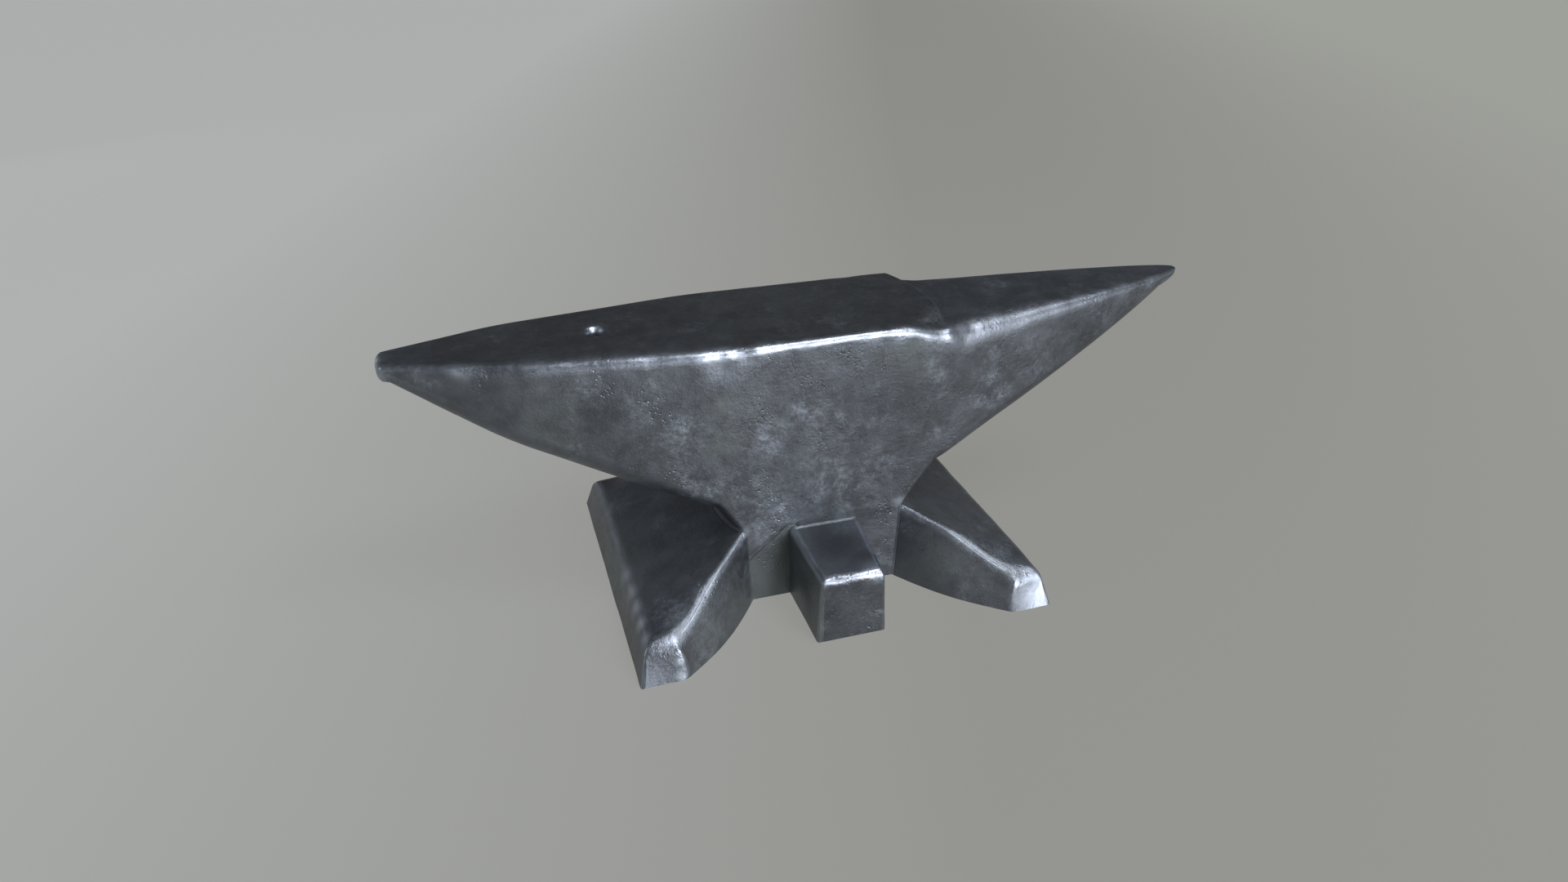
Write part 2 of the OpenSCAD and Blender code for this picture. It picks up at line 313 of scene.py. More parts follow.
# Patches, each with a centre and a radius in millimetres and, where given, a strength below 1.
# Rubbed, lighter metal:
RUBBED = (
    ((-124, -64, 170), 22), ((-150, -62, 196), 15), ((-190, -58, 214), 14), ((-1, -63, 114), 22),
    ((-50, -64, 158), 16), ((-20, -64, 178), 14), ((86, -65, 204), 8), ((96, -65, 192), 8),
    ((106, -64, 180), 8), ((-72, -63, 110), 16), ((45, -63, 118), 14), ((-92, -65, 226), 12, 0.5),
    ((-66, -65, 226), 10, 0.5), ((93, -64, 226), 12), ((-40, -63, 92), 20), ((20, -63, 92), 20),
    ((-60, -63, 76), 14), ((-148, -100, 30), 16), ((150, -100, 30), 14), ((-160, -132, 32), 10),
    ((40, 64, 160), 24), ((-60, 64, 190), 22), ((-170, 58, 200), 20), ((180, 52, 200), 22),
    ((0, 63, 90), 22), ((190, -40, 190), 18, 0.4), ((150, -52, 205), 14, 0.4), ((-110, -60, 120), 18),
)
# Dull greenish metal: oxide on the sides of the body and flat horn, and painted shade low on the faces
# between and beside the feet:
OXIDE_AND_SHADE = (
    ((-95, -80, 22), 26), ((-120, -110, 16), 22), ((105, -85, 25), 30), ((130, -112, 18), 20),
    ((-220, -44, 185), 26), ((70, -64, 215), 20), ((-88, -64, 160), 14), ((-88, -64, 195), 10),
    ((95, 85, 25), 30), ((-105, 85, 25), 30), ((60, 64, 110), 24), ((-180, 0, 20), 40),
)
# Painted shade, in the dirt's colour: on the block's top, left side and front, and over the sides of the
# body and both horns:
PAINTED_SHADE = (
    ((2, -92, 64), 34), ((16, -116, 61), 24), ((-32, -100, 30), 22, 0.9), ((0, -146, 30), 30, 0.29),
    ((-200, -50, 195), 45, 0.20), ((0, -64, 200), 60, 0.07), ((150, -58, 195), 34, 0.14),
    ((250, -36, 215), 36, 0.46), ((62, -64, 190), 50, 0.54), ((70, -64, 140), 30, 0.17),
)
# Painted highlights, in the bare metal's colour: on the toes and the left foot's outer edge, on the block,
# waist and inner sides, on the flat horn with its hole and tip, and along the face and the round horn
PAINTED_HIGHLIGHT = (
    ((166, -141, 12), 19, 0.55), ((168, -138, 26), 12, 0.66), ((-152, -135, 34), 5.5),
    ((-147, -141, 18), 4.5), ((-146, -145, 6), 4.5), ((-163, -141, 14), 15, 0.12),
    ((-172, -35, 31), 8, 0.36), ((-172, -60, 31), 8, 0.42), ((-172, -82, 31), 8, 0.48),
    ((-172, -103, 31), 7, 0.54), ((-172, -122, 31), 7, 0.46),
    ((20, -134, 60), 12, 0.5), ((-70, -64, 73), 4), ((68, -65, 78), 5), ((-55, -63, 66), 14, 0.3),
    ((-40, -63, 84), 20, 0.2), ((0, -64, 118), 26, 0.10), ((-45, -72, 18), 26, 0.22),
    ((125, -100, 26), 26, 0.16), ((-135, -110, 34), 28, 0.16), ((-110, -105, 18), 24, 0.10),
    ((-172, 13, 236), 6), ((-176, 11, 232), 6, 0.9), ((-338, 0, 232), 9), ((-281, -35, 238), 6),
    ((-277, -38, 234), 5, 0.7), ((-222, -48, 238), 15, 0.25), ((-190, -53, 237), 15, 0.28),
    ((-160, -57, 236), 15, 0.30), ((-130, -62, 235), 15, 0.34),
    ((-88, -65, 236), 9), ((-97, -64, 237), 8), ((-75, -64, 226), 9, 0.22), ((-52, -64, 238), 7, 0.6),
    ((-40, -64, 238), 6, 0.5), ((40, -64, 239), 7, 0.45), ((60, -64, 238), 8, 0.5),
    ((91, -65, 231), 12, 0.22), ((106, -64, 231), 12, 0.32), ((122, -62, 233), 13, 0.36),
    ((138, -60, 235), 14, 0.45), ((155, -57, 236), 13, 0.45), ((174, -54, 237), 11, 0.40),
    ((196, -50, 238), 10, 0.36), ((216, -46, 239), 10, 0.36), ((238, -41, 239), 9, 0.36),
    ((262, -36, 240), 9, 0.40), ((290, -28, 240), 9, 0.40),
)
# The forging's waves: share, size in millimetres and seed
WAVES = ((0.50, 62, 1), (0.28, 24, 2), (0.13, 9.5, 3), (0.055, 4.2, 4))
# Depth of the waves in millimetres, and the wave height that touches the true form
WAVE_DEPTH, WAVE_CREST = 0.42, 0.55
# Pits that crowd and pits that lie scattered: depth and size in millimetres, chance and seed
PITS = ((0.7, 4.2, 0.8, 20), (0.45, 6.5, 0.22, 30))
PIT_DEPTH = 0.85
# How much more of all this feet and block show
LOWER_WAVES = 1.25


def near_any(points, spots):
    """Largest of strength times exp(-(d / r)^2) over the listed spots; the strength is 1 where
    none is given."""
    found = np.zeros(points.shape[:-1])
    for centre, radius, *strength in spots:
        d2 = np.sum((points - np.array(centre) * MM) ** 2, axis=-1) / (radius * MM) ** 2
        found = np.maximum(found, np.exp(-d2) * (strength[0] if strength else 1.0))
    return found


def forging(points, normals, finish):
    """How far each point sinks below the true form, in metres: long waves from the hammer,
    finer ripples, pits where they crowd, the listed marks and the dish round the pritchel hole.
    Faces that were ground flat (looking up) keep about a fifth of the waves."""
    s = bpy.context.scene.anvil_sizes
    ground = mix(1.0, 0.22, ramp(0.85, 0.99, normals[..., 2]))
    waves = sum(share_of * clouds(points, size * MM, seed) for share_of, size, seed in WAVES)
    sunk = (WAVE_CREST - waves) * WAVE_DEPTH * ground * finish.wave
    crowd = near_any(points, CROWDS)
    sparse = ramp(0.25, 0.75, clouds(points, 40 * MM, 9))
    crowded, scattered = (
        depth * pits(points, size * MM, chance, seed) for depth, size, chance, seed in PITS
    )
    deep = crowded * crowd + scattered * sparse
    sunk = sunk + deep * PIT_DEPTH * finish.pitting * mix(1.0, 0.5, ramp(0.9, 0.99, normals[..., 2]))
    for centre, radii, depth in MARKS:
        d2 = np.sum(((points - np.array(centre) * MM) / (np.array(radii) * MM)) ** 2, axis=-1)
        sunk = sunk + depth * np.exp(-d2)
    off = np.hypot(points[..., 0] - s.pritchel_x, points[..., 1] - s.pritchel_y)
    dish = s.dish_depth / MM * np.exp(-((off / s.dish_r) ** 2))
    return (sunk + dish * (points[..., 2] > PLATE_Z)) * MM


# ---------------------------------------------------------------------------------------------
# Grids to meshes


def grid_normals(grid):
    """Unit normals of a grid from the cross product of its central differences."""
    n = np.cross(np.gradient(grid, axis=0), np.gradient(grid, axis=1))
    size = np.linalg.norm(n, axis=-1, keepdims=True)
    return n / np.maximum(size, 1e-12)


def shifted(values, offset, axis):
    """The values a number of grid steps further along an axis, held at the ends."""
    size = values.shape[axis]
    return np.take(values, np.clip(np.arange(size) + offset, 0, size - 1), axis=axis)


# Proudness: grid steps that it looks to either side, the length it is measured against, the
# shortest run it trusts, and its limit
PROUD_STEPS, PROUD_SCALE, PROUD_RUN, PROUD_LIMIT = 2, 0.005, 0.0012, 1.5


def proudness(grid, normals):
    """How sharply the surface turns outwards: the change of the unit normal along the change
    of place, in both directions, times a length. Edges are positive, hollows negative."""
    total = 0.0
    for axis in (0, 1):
        run = shifted(grid, PROUD_STEPS, axis) - shifted(grid, -PROUD_STEPS, axis)
        turn = shifted(normals, PROUD_STEPS, axis) - shifted(normals, -PROUD_STEPS, axis)
        gap = np.maximum(np.sum(run**2, axis=-1), PROUD_RUN**2)
        total = total + np.sum(turn * run, axis=-1) / gap
    return np.clip(total * PROUD_SCALE, -PROUD_LIMIT, PROUD_LIMIT)


def quads(index):
    """Faces between neighbouring rows and columns of an index grid."""
    corners = [index[:-1, :-1], index[1:, :-1], index[1:, 1:], index[:-1, 1:]]
    return np.stack(corners, axis=-1).reshape(-1, 4)


class Shell:
    """Collects grids and strips of points into one closed mesh."""

    def __init__(self):
        self.points, self.proud, self.normals, self.faces, self.count = [], [], [], [], 0

    def add(self, points, proud=None, normals=None):
        """Takes in points with their proudness and normals, and returns their indices."""
        points = np.asarray(points, float)
        self.normals.append((np.zeros(points.shape) if normals is None else normals).reshape(-1, 3))
        index = self.count + np.arange(points[..., 0].size).reshape(points.shape[:-1])
        self.points.append(points.reshape(-1, 3))
        self.proud.append((np.zeros(index.shape) if proud is None else proud).reshape(-1))
        self.count += index.size
        return index

    def join(self, index, skip=None):
        """Faces over an index grid, left open at the block (i0, i1, j0, j1) if one is given."""
        faces = quads(index)
        if skip is not None:
            i, j = np.divmod(np.arange(len(faces)), index.shape[1] - 1)
            i0, i1, j0, j1 = skip
            faces = faces[~((i >= i0) & (i < i1) & (j >= j0) & (j < j1))]
        self.faces.append(faces)

    def strip(self, first, *others, closed=False):
        """Faces between rows of indices, joined end to start where they are closed."""
        rows = np.stack([first, *others])
        if closed:
            rows = np.concatenate([rows, rows[:, :1]], axis=1)
        self.faces.append(quads(rows))

    def cap(self, ring, steps=1):
        """Closes a ring of indices towards its middle point."""
        points = np.concatenate(self.points)[ring]
        middle = points.mean(axis=0)
        rows = [ring]
        for k in range(1, steps + 1):
            rows.append(self.add(mix(points, middle, k / steps)))
        self.strip(*rows, closed=True)

    def build(self, name):
        """The finished piece. Quads folded to three corners become triangles, quads folded
        further are dropped, and each point carries the values that the finishes read."""
        points, faces = np.concatenate(self.points), np.concatenate(self.faces)
        twice = faces == np.roll(faces, -1, axis=1)
        whole, folded = faces[~twice.any(axis=1)], twice.sum(axis=1) == 1
        threes = faces[folded][~twice[folded]].reshape(-1, 3)
        mesh = bpy.data.meshes.new(name)
        mesh.from_pydata(points.tolist(), [], whole.tolist() + threes.tolist())
        # Among these are painted shade in listed patches, painted highlights, a greenish tone that is
        # partly painted shade, and how far each point looks up, which darkens the steel's tops as painted
        # shade.
        values = {
            "proud": np.concatenate(self.proud),
            "rubbed": near_any(points, RUBBED),
            "oxide": np.clip(plinth(points) + 0.8 * near_any(points, OXIDE_AND_SHADE), 0, 1),
            "soot": near_any(points, PAINTED_SHADE),
            "bright": near_any(points, PAINTED_HIGHLIGHT),
            "pitted": near_any(points, CROWDS),
            "ground": ramp(0.80, 0.97, np.concatenate(self.normals)[:, 2]),
        }
        for key, value in values.items():
            attribute = mesh.attributes.new(key, "FLOAT", "POINT")
            attribute.data.foreach_set("value", value.astype(np.float32))
        attribute = mesh.attributes.new("shared_normal", "FLOAT_VECTOR", "POINT")
        attribute.data.foreach_set("vector", np.concatenate(self.normals).astype(np.float32).ravel())
        return finished(mesh, name)


def finished(mesh, name):
    """Merges doubles, drops unused points, turns the faces outwards, shades points that
    neighbouring pieces share alike, and hangs the piece on the anvil's body."""
    work = bmesh.new()
    work.from_mesh(mesh)
    bmesh.ops.remove_doubles(work, verts=work.verts, dist=MERGE)
    bmesh.ops.dissolve_degenerate(work, edges=work.edges, dist=MERGE / 10)
    loose = [vert for vert in work.verts if not vert.link_faces]
    bmesh.ops.delete(work, geom=loose, context="VERTS")
    bmesh.ops.recalc_face_normals(work, faces=work.faces)
    if work.calc_volume(signed=True) < 0:
        bmesh.ops.reverse_faces(work, faces=work.faces)
    work.to_mesh(mesh)
    work.free()
    mesh.polygons.foreach_set("use_smooth", np.ones(len(mesh.polygons), bool))
    mesh.set_sharp_from_angle(angle=np.radians(SHARP_ANGLE))
    shared = np.zeros(len(mesh.vertices) * 3, np.float32)
    mesh.attributes["shared_normal"].data.foreach_get("vector", shared)
    mesh.attributes.remove(mesh.attributes["shared_normal"])
    if shared.any():
        mesh.normals_split_custom_set_from_vertices(shared.reshape(-1, 3).tolist())
    piece = bpy.data.objects.new(name, mesh)
    bpy.context.scene.collection.objects.link(piece)
    node = name.removeprefix("forged_")
    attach(piece, "root")
    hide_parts(node)
    return piece


def inside_cad(grid):
    """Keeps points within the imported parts' box."""
    low, high = np.array(cad_bounds[0]), np.array(cad_bounds[1])
    return np.clip(grid, low, high)


# ---------------------------------------------------------------------------------------------
# The upper skin: one grid over both horns, the body and the face

# Rows over the flat horn's rounded tip and the turn in degrees that they cover, and rows over
# the face's end edge and over the hollow at its foot
TIP_ROWS, TIP_TURN, STEP_ROWS, HOLLOW_ROWS = 9, 75, 6, 5
# Rows on the round horn: how much they crowd towards its point, and how many more that takes
HORN_CROWDING, HORN_ROW_SHARE = 1.28, 1.12
# Places over which a corner in the plan is averaged, as shares of its reach, and the furthest
# reaches on the flat and on the round horn
EASE = np.linspace(-1, 1, 11)
FLAT_EASE, ROUND_EASE = 0.018, 0.022
# Height of the side's lower edge at either tip, and length over which the underside's crown
# changes from the body's to the horn's
FLAT_TIP_EDGE, ROUND_TIP_EDGE, CROWN_CHANGE = FACE_Z - 0.001, FACE_Z + 0.004, 0.012
# The horns' crown as a share of half their width, at the root and at the tip
ROOT_CROWN, TIP_CROWN = 0.38, 0.74
# Stretches along X over which the round horn's edge rounding sets in and slims, the face's
# front corner is worn down, and the bow of the face's end comes and goes
HORN_ROUNDING, HORN_SLIMMING = (FACE_RIGHT + 0.002, FACE_RIGHT + 0.024), (0.15, 0.27)
WORN_CORNER, BOW_IN, BOW_OUT = (0.062, 0.100), (0.02, 0.094), (0.104, 0.20)
# Heights against the top between which that bow sets in
BOW_RISE = (-0.0135, -0.007)
# Stretches along X over which the waves calm down towards the tips, and by what share
ROUND_TIP_CALM, FLAT_TIP_CALM, TIP_CALM = (0.28, 0.345), (-0.335, -0.300), 0.8
# Heights from the waist's weld over which the waves calm down and the edges' shine fades
WELD_CALM, WELD_DULL = 0.007, 0.008
# The middle of the step at the face's end, past the face's corners, and half its stretch
STEP_MIDDLE, STEP_REACH = 0.003, 0.012


def steps_between(a, b, step):
    """Even places from a to b, about a step apart."""
    return np.linspace(a, b, max(2, int(round(abs(b - a) / step)) + 1))


def stations(s):
    """Rows along X, as a path of X and top height: the flat horn's rounded tip, its taper, the
    face, the rounded step down at the face's end, and the round horn with rows crowding
    towards its point. Also says at which rows the pieces part."""
    turn = np.radians(np.linspace(TIP_TURN, 0, TIP_ROWS))
    tip_x = FLAT_TIP + s.flat_tip_round * (np.sin(turn[0]) - np.sin(turn))
    d = s.mesh_step
    plate_x = steps_between(FLAT_PLATE_END, FACE_LEFT, d)
    before_plate = steps_between(tip_x[-1], FLAT_PLATE_END, d)
    face_x = steps_between(FACE_LEFT, FACE_RIGHT - s.step_edge, d)
    a = np.radians(np.linspace(0, 90, STEP_ROWS))[1:]
    edge_x = FACE_RIGHT - s.step_edge + s.step_edge * np.sin(a)
    edge_top = FACE_Z - s.step_edge * (1 - np.cos(a))
    b = np.radians(np.linspace(0, 90, HOLLOW_ROWS))
    hollow_x = FACE_RIGHT + s.step_fillet * (1 - np.cos(b))
    horn_top = FACE_Z - s.round_drop
    hollow_top = horn_top + s.step_fillet * (1 - np.sin(b))
    rows = int((ROUND_TIP - hollow_x[-1]) / d * HORN_ROW_SHARE)
    u = np.linspace(0, 1, rows)[1:]
    round_x = hollow_x[-1] + (ROUND_TIP - hollow_x[-1]) * (1 - (1 - u) ** HORN_CROWDING)
    t = (round_x - FACE_RIGHT) / (ROUND_TIP - FACE_RIGHT)
    round_top = FACE_Z - mix(s.round_drop, s.round_tip_drop, t)
    x = [tip_x, before_plate[1:], plate_x[1:], face_x[1:], edge_x, hollow_x, round_x]
    flat = np.full(len(tip_x) + len(before_plate) + len(plate_x) + len(face_x) - 3, FACE_Z)
    flat[: len(tip_x)] -= s.flat_tip_round * (1 - np.cos(turn)) / 2
    top = np.concatenate([flat, edge_top, hollow_top, round_top])
    ends = np.cumsum([len(part) for part in x]) - 1
    return np.concatenate(x), top, {"plate": ends[1], "root": ends[2], "step": ends[4] + 1}


def half_widths(x, s):
    """Half width of the section: a power taper on the round horn that leaves the body without
    a crease, and straight runs on the flat horn whose corners are averaged over a few
    centimetres. The last run closes up as a quarter circle."""
    square = FACE_LEFT - s.flat_len + s.flat_tip_round
    knots = [square, FACE_LEFT - s.flat_shoulder, FACE_LEFT]
    widths = [s.flat_tip_w / 2, s.flat_shoulder_w / 2, FACE_HALF]
    window = np.clip((x - square) * 0.6, 0, FLAT_EASE)
    flat = np.mean([np.interp(x + window * k, knots, widths) for k in EASE], axis=0)
    flat = flat * np.sqrt(1 - np.clip((square - x) / s.flat_tip_round, 0, 1) ** 2)
    ease = np.clip((ROUND_TIP - x) * 0.3, 0, ROUND_EASE)
    total = 0.0
    for k in EASE:
        past = x + ease * k - FACE_RIGHT
        t = np.clip(past / (ROUND_TIP - FACE_RIGHT), 0, 1)
        horn = mix(s.round_tip_w, s.round_root_w, (1 - t) ** s.round_taper) / 2
        total = total + horn + (FACE_HALF - s.round_root_w / 2) * (1 - ramp(0, 0.05, past))
    return np.where(x > 0, np.minimum(total / len(EASE), FACE_HALF), flat)


def lower_edges(x, s):
    """Height of the side's lower edge, and depth of the crowned underside below it."""
    left = np.clip((FACE_LEFT - x) / s.flat_len, 0, 1)
    right = np.clip((x - FACE_RIGHT) / (ROUND_TIP - FACE_RIGHT), 0, 1)
    places = [FACE_LEFT, -s.waist_x, s.waist_x, FACE_RIGHT]
    edge = np.interp(x, places, [s.flat_edge_z, WAIST_Z, WAIST_Z, s.round_edge_z])
    edge = np.where(x < FACE_LEFT, mix(s.flat_edge_z, FLAT_TIP_EDGE, left), edge)
    edge = np.where(x > FACE_RIGHT, mix(s.round_edge_z, ROUND_TIP_EDGE, right), edge)
    bulge = WAIST_END - s.waist_x
    body = np.where(
        x < 0,
        bulge * (s.flat_edge_z - WAIST_Z) / (-FACE_LEFT - s.waist_x),
        bulge * (s.round_edge_z - WAIST_Z) / (FACE_RIGHT - s.waist_x),
    )
    t = np.maximum(left, right)
    horn = mix(ROOT_CROWN, TIP_CROWN, t) * half_widths(x, s)
    on_horn = np.clip(np.maximum(FACE_LEFT - x, x - FACE_RIGHT) / CROWN_CHANGE, 0, 1)
    return edge, mix(body, horn, on_horn)


# Rounding of the long upper edges along X, both in millimetres
FRONT_CUTS = (
    (-339, 4), (-305, 5), (-262, 9), (-120, 10), (-88, 9), (-74, 6), (-56, 7.5), (-30, 5.5),
    (30, 5), (80, 8), (100, 10),
)
REAR_CUTS = ((-339, 4), (100, 4))
# The same by side: the rounding, how much fuller it is on the round horn's root, how ragged it
# is, and the seed of that
EDGE_CUTS = ((FRONT_CUTS, 0.75, 0.13, 51), (REAR_CUTS, 0.0, 0.06, 52))
# The greatest rounding on the face and flat horn, on the round horn, and as a share of half
# the width
FLAT_CUT, HORN_CUT, CUT_SHARE = 0.0125, 0.03, 0.6
# The least height of the straight side, and where the plate line may run on it, as shares of
# its height
LEAST_SIDE, PLATE_LOW, PLATE_HIGH = 0.002, 0.05, 0.96

# Steps across half a section: the top, its rounded edge, the plate's rim, the side and the
# underside
TOP_STEPS, EDGE_STEPS, RIM_STEPS, SIDE_STEPS, CROWN_STEPS = 50, 10, 6, 78, 34
PLATE_COLUMN = TOP_STEPS + EDGE_STEPS + RIM_STEPS
HALF_COLUMNS = PLATE_COLUMN + SIDE_STEPS + CROWN_STEPS


def half_section(top, half, edge, crown, cut, worn, side, s):
    """Half a section at every row, from the middle of the top to the middle of the underside:
    a flat top that sinks by the worn depth towards its edge, an edge rounded as a quadratic
    curve of the given cut, a straight leaning side and a quarter-ellipse underside that is
    cut level just under the waist's weld. side is -1 or 1."""
    top, half, edge, crown, cut, worn = (v[:, None] for v in (top, half, edge, crown, cut, worn))
    edge = np.minimum(edge, top - cut - LEAST_SIDE)

    def lean(z):
        return s.side_lean * np.clip((FACE_Z - z) / s.lean_height, 0, 1)

    u = np.linspace(0, 1, TOP_STEPS + 1)[None]
    y, z = [(half - cut) * u], [top - worn * ramp(0.45, 1.0, u)]
    top = top - worn
    u = np.linspace(0, 1, EDGE_STEPS + 1)[None, 1:]
    y.append((1 - u) ** 2 * (half - cut) + 2 * u * (1 - u) * half + u**2 * (half - lean(top - cut)))
    z.append(top - cut * u**2)
    plate = np.clip(PLATE_Z, mix(edge, top - cut, PLATE_LOW), mix(edge, top - cut, PLATE_HIGH))
    for a, b, count in ((top - cut, plate, RIM_STEPS), (plate, edge, SIDE_STEPS)):
        level = mix(a, b, np.linspace(0, 1, count + 1)[None, 1:])
        z.append(level)
        y.append(half - lean(level))
    b = np.radians(np.linspace(0, 90, CROWN_STEPS + 1))[None, 1:]
    y.append((half - lean(edge)) * np.cos(b))
    z.append(np.maximum(WAIST_Z - SEAT_DEPTH, edge - crown * np.sin(b)))
    return np.concatenate(y, axis=1) * side, np.concatenate(z, axis=1)


def edge_cuts(x, half, s):
    """Rounding of the front and of the rear upper edge at every row: the listed sizes on face
    and flat horn, a share of the half width on the round horn, made ragged by noise."""
    into = ramp(*HORN_ROUNDING, x)
    line = np.stack([x, 0 * x, 0 * x], axis=-1)
    cuts = []
    for sizes, fuller, ragged, seed in EDGE_CUTS:
        cut = np.interp(x, [c[0] * MM for c in sizes], [c[1] * MM for c in sizes])
        spread = s.round_edge_share * half * (1 + fuller * (1 - ramp(*HORN_SLIMMING, x)))
        cut = mix(cut, spread, into) * (1 + ragged * clouds(line, 0.019, seed))
        limit = np.where(x < FACE_RIGHT, FLAT_CUT, HORN_CUT)
        cuts.append(np.minimum(cut, np.minimum(limit, half * CUT_SHARE)))
    return cuts


def upper_skin(s, finish):
    """The whole upper grid with its forging: rows along X, columns round the section starting
    and ending at the middle of the top. Near the face's end the upper columns bow out along an
    arc through the face's corners. Returns the grid, its proudness, the parting rows and the
    normals."""
    x, top, rows = stations(s)
    half = half_widths(x, s)
    edge, crown = lower_edges(x, s)
    parts = []
    above_horn = np.clip(top - (FACE_Z - s.round_drop), 0, None)
    worn = ramp(*WORN_CORNER, x) * above_horn * (x < FACE_RIGHT + 0.01)
    for side, cut, depth in zip((-1, 1), edge_cuts(x, half, s), (worn, 0 * worn)):
        parts.append(half_section(top, half, edge, crown, cut, depth, side, s))
    (fy, fz), (ry, rz) = parts
    y = np.concatenate([fy, ry[:, -2::-1]], axis=1)
    z = np.concatenate([fz, rz[:, -2::-1]], axis=1)
    arc = (FACE_HALF**2 + FACE_BOW**2) / (2 * FACE_BOW)
    bow = np.sqrt(arc**2 - np.minimum(np.abs(y), FACE_HALF) ** 2) - (arc - FACE_BOW)
    reach = ramp(*BOW_IN, x) * (1 - ramp(*BOW_OUT, x))
    local_top = top[:, None] - worn[:, None] * (np.arange(y.shape[1]) < HALF_COLUMNS)
    upper = ramp(*BOW_RISE, z - local_top)
    grid = np.stack([x[:, None] + bow * reach[:, None] * upper, y, z], axis=-1)
    normals = grid_normals(grid)
    if np.mean(normals[:, 0, 2]) < 0:
        normals = -normals
    calm = ramp(0.0, WELD_CALM, np.abs(z - WAIST_Z))
    sunk = np.where(z <= WAIST_Z + MERGE, 0, forging(grid, normals, finish) * calm)
    tip = 1 - TIP_CALM * np.maximum(ramp(*ROUND_TIP_CALM, x), 1 - ramp(*FLAT_TIP_CALM, x))
    grid = inside_cad(grid - normals * (sunk * tip[:, None])[..., None])
    fresh = grid_normals(grid)
    normals = fresh * np.sign(np.mean(normals[:, 0, 2]) * np.mean(fresh[:, 0, 2]))
    proud = proudness(grid, normals) * ramp(0.0, WELD_DULL, z - WAIST_Z)
    # The step's own edges are not rubbed bright
    at_step = (np.abs(x - FACE_RIGHT - STEP_MIDDLE) < STEP_REACH)[:, None]
    step = at_step * ramp(0.85, 0.97, normals[..., 2] + 0.35 * np.abs(normals[..., 0]))
    return grid, proud * (1 - 0.85 * step), rows, normals


# ---------------------------------------------------------------------------------------------
# Pieces cut from the upper skin

# Width of the band of points round the pritchel hole that is left open for its rim, and the
# rings that turn it into a circle
RIM_BAND, RIM_RINGS = 0.0035, 8

_skin = {}


def skin():
    """The upper skin, worked out once for all the pieces that share it."""
    if not _skin:
        s, finish = bpy.context.scene.anvil_sizes, bpy.context.scene.anvil_finish
        _skin["parts"] = upper_skin(s, finish)
    return _skin["parts"]


def on_skin():
    """The skin's points, proudness and normals."""
    grid, proud, _, normals = skin()
    return grid, proud, normals


def over_columns():
    """Columns from the front plate line over the top to the rear plate line."""
    last = 2 * HALF_COLUMNS
    return np.concatenate([np.arange(PLATE_COLUMN, 0, -1), np.arange(last, last - PLATE_COLUMN - 1, -1)])


def under_columns():
    """Columns from the front plate line under the piece to the rear plate line."""
    return np.arange(PLATE_COLUMN, 2 * HALF_COLUMNS - PLATE_COLUMN + 1)


def block_around(grid, s):
    """Rows and columns of the smallest block of a grid that holds the pritchel hole's rim."""
    reach = s.pritchel_d / 2 + RIM_BAND
    i = np.flatnonzero(np.abs(grid[:, grid.shape[1] // 2, 0] - s.pritchel_x) < reach)
    row = grid[i[len(i) // 2], :, 1]
    j = np.flatnonzero(np.abs(row - s.pritchel_y) < reach)
    return i[0] - 1, i[-1] + 1, j[0] - 1, j[-1] + 1


def rim_of(index, block):
    """Indices round the edge of a block, in order."""
    i0, i1, j0, j1 = block
    return np.concatenate([index[i0, j0:j1], index[i0:i1, j1], index[i1, j1:j0:-1], index[i1:i0:-1, j0]])


def bore(shell, index_a, block_a, index_b, block_b, s, funnel):
    """Joins two openings by a round bore. From each block's edge, rings turn step by step into
    the circle; the upper ones also sink into a funnel of the given depth, by a power of the
    step, and then the wall runs straight to the other opening."""
    points = np.concatenate(shell.points)
    centre, hole_r = np.array([s.pritchel_x, s.pritchel_y]), s.pritchel_d / 2
    ends = []
    for rim, depth in ((rim_of(index_a, block_a), funnel), (rim_of(index_b, block_b), 0.0)):
        p = points[rim]
        angle = np.arctan2(p[:, 1] - centre[1], p[:, 0] - centre[0])
        circle = centre + hole_r * np.stack([np.cos(angle), np.sin(angle)], axis=-1)
        rows = [rim]
        for k in np.linspace(0, 1, RIM_RINGS + 1)[1:]:
            xy = mix(p[:, :2], circle, k)
            radius = np.linalg.norm(xy - centre, axis=-1)
            fall = np.clip((hole_r + s.funnel_w - radius) / s.funnel_w, 0, 1) ** 1.5
            z = mix(p[:, 2], p[:, 2].mean(), k) - depth * fall
            rows.append(shell.add(np.column_stack([xy, z]), 0.5 * fall * (depth > 0)))
        shell.strip(*rows, closed=True)
        ends.append((rows[-1], angle))
    shell.faces.append(stitched(*ends))


def stitched(*ends):
    """Triangles between two rings of unequal count, each given as indices and angles: the
    rings are sorted by angle, and every edge joins the other ring's point nearest its middle."""
    rings = []
    for ring, angle in ends:
        angle = np.mod(angle, 2 * np.pi)
        order = np.argsort(angle)
        turn = angle[order]
        rings.append((ring[order], (turn + np.append(turn[1:], turn[0] + 2 * np.pi)) / 2))
    (a, middle_a), (b, middle_b) = rings
    over_b = b[np.searchsorted(middle_b, middle_a) % len(b)]
    over_a = a[np.searchsorted(middle_a, middle_b) % len(a)]
    first = np.stack([a, np.roll(a, -1), over_b, over_b], axis=-1)
    second = np.stack([b, over_a, over_a, np.roll(b, -1)], axis=-1)
    return np.concatenate([first, second])


def seat_of(over, proud, normals):
    """The weld face under part of the skin: at every row a straight run between the two border
    points, spaced like the arc length along the skin. Its borders are the skin's own."""
    steps = np.linalg.norm(np.diff(over[..., 1:], axis=1), axis=-1)
    along = np.concatenate([np.zeros((len(over), 1)), np.cumsum(steps, axis=1)], axis=1)
    along = (along / along[:, -1:])[..., None]
    seat = mix(over[:, :1], over[:, -1:], along)
    border = np.zeros(over.shape[1])
    border[[0, -1]] = 1
    return seat, proud * border, normals * border[:, None]


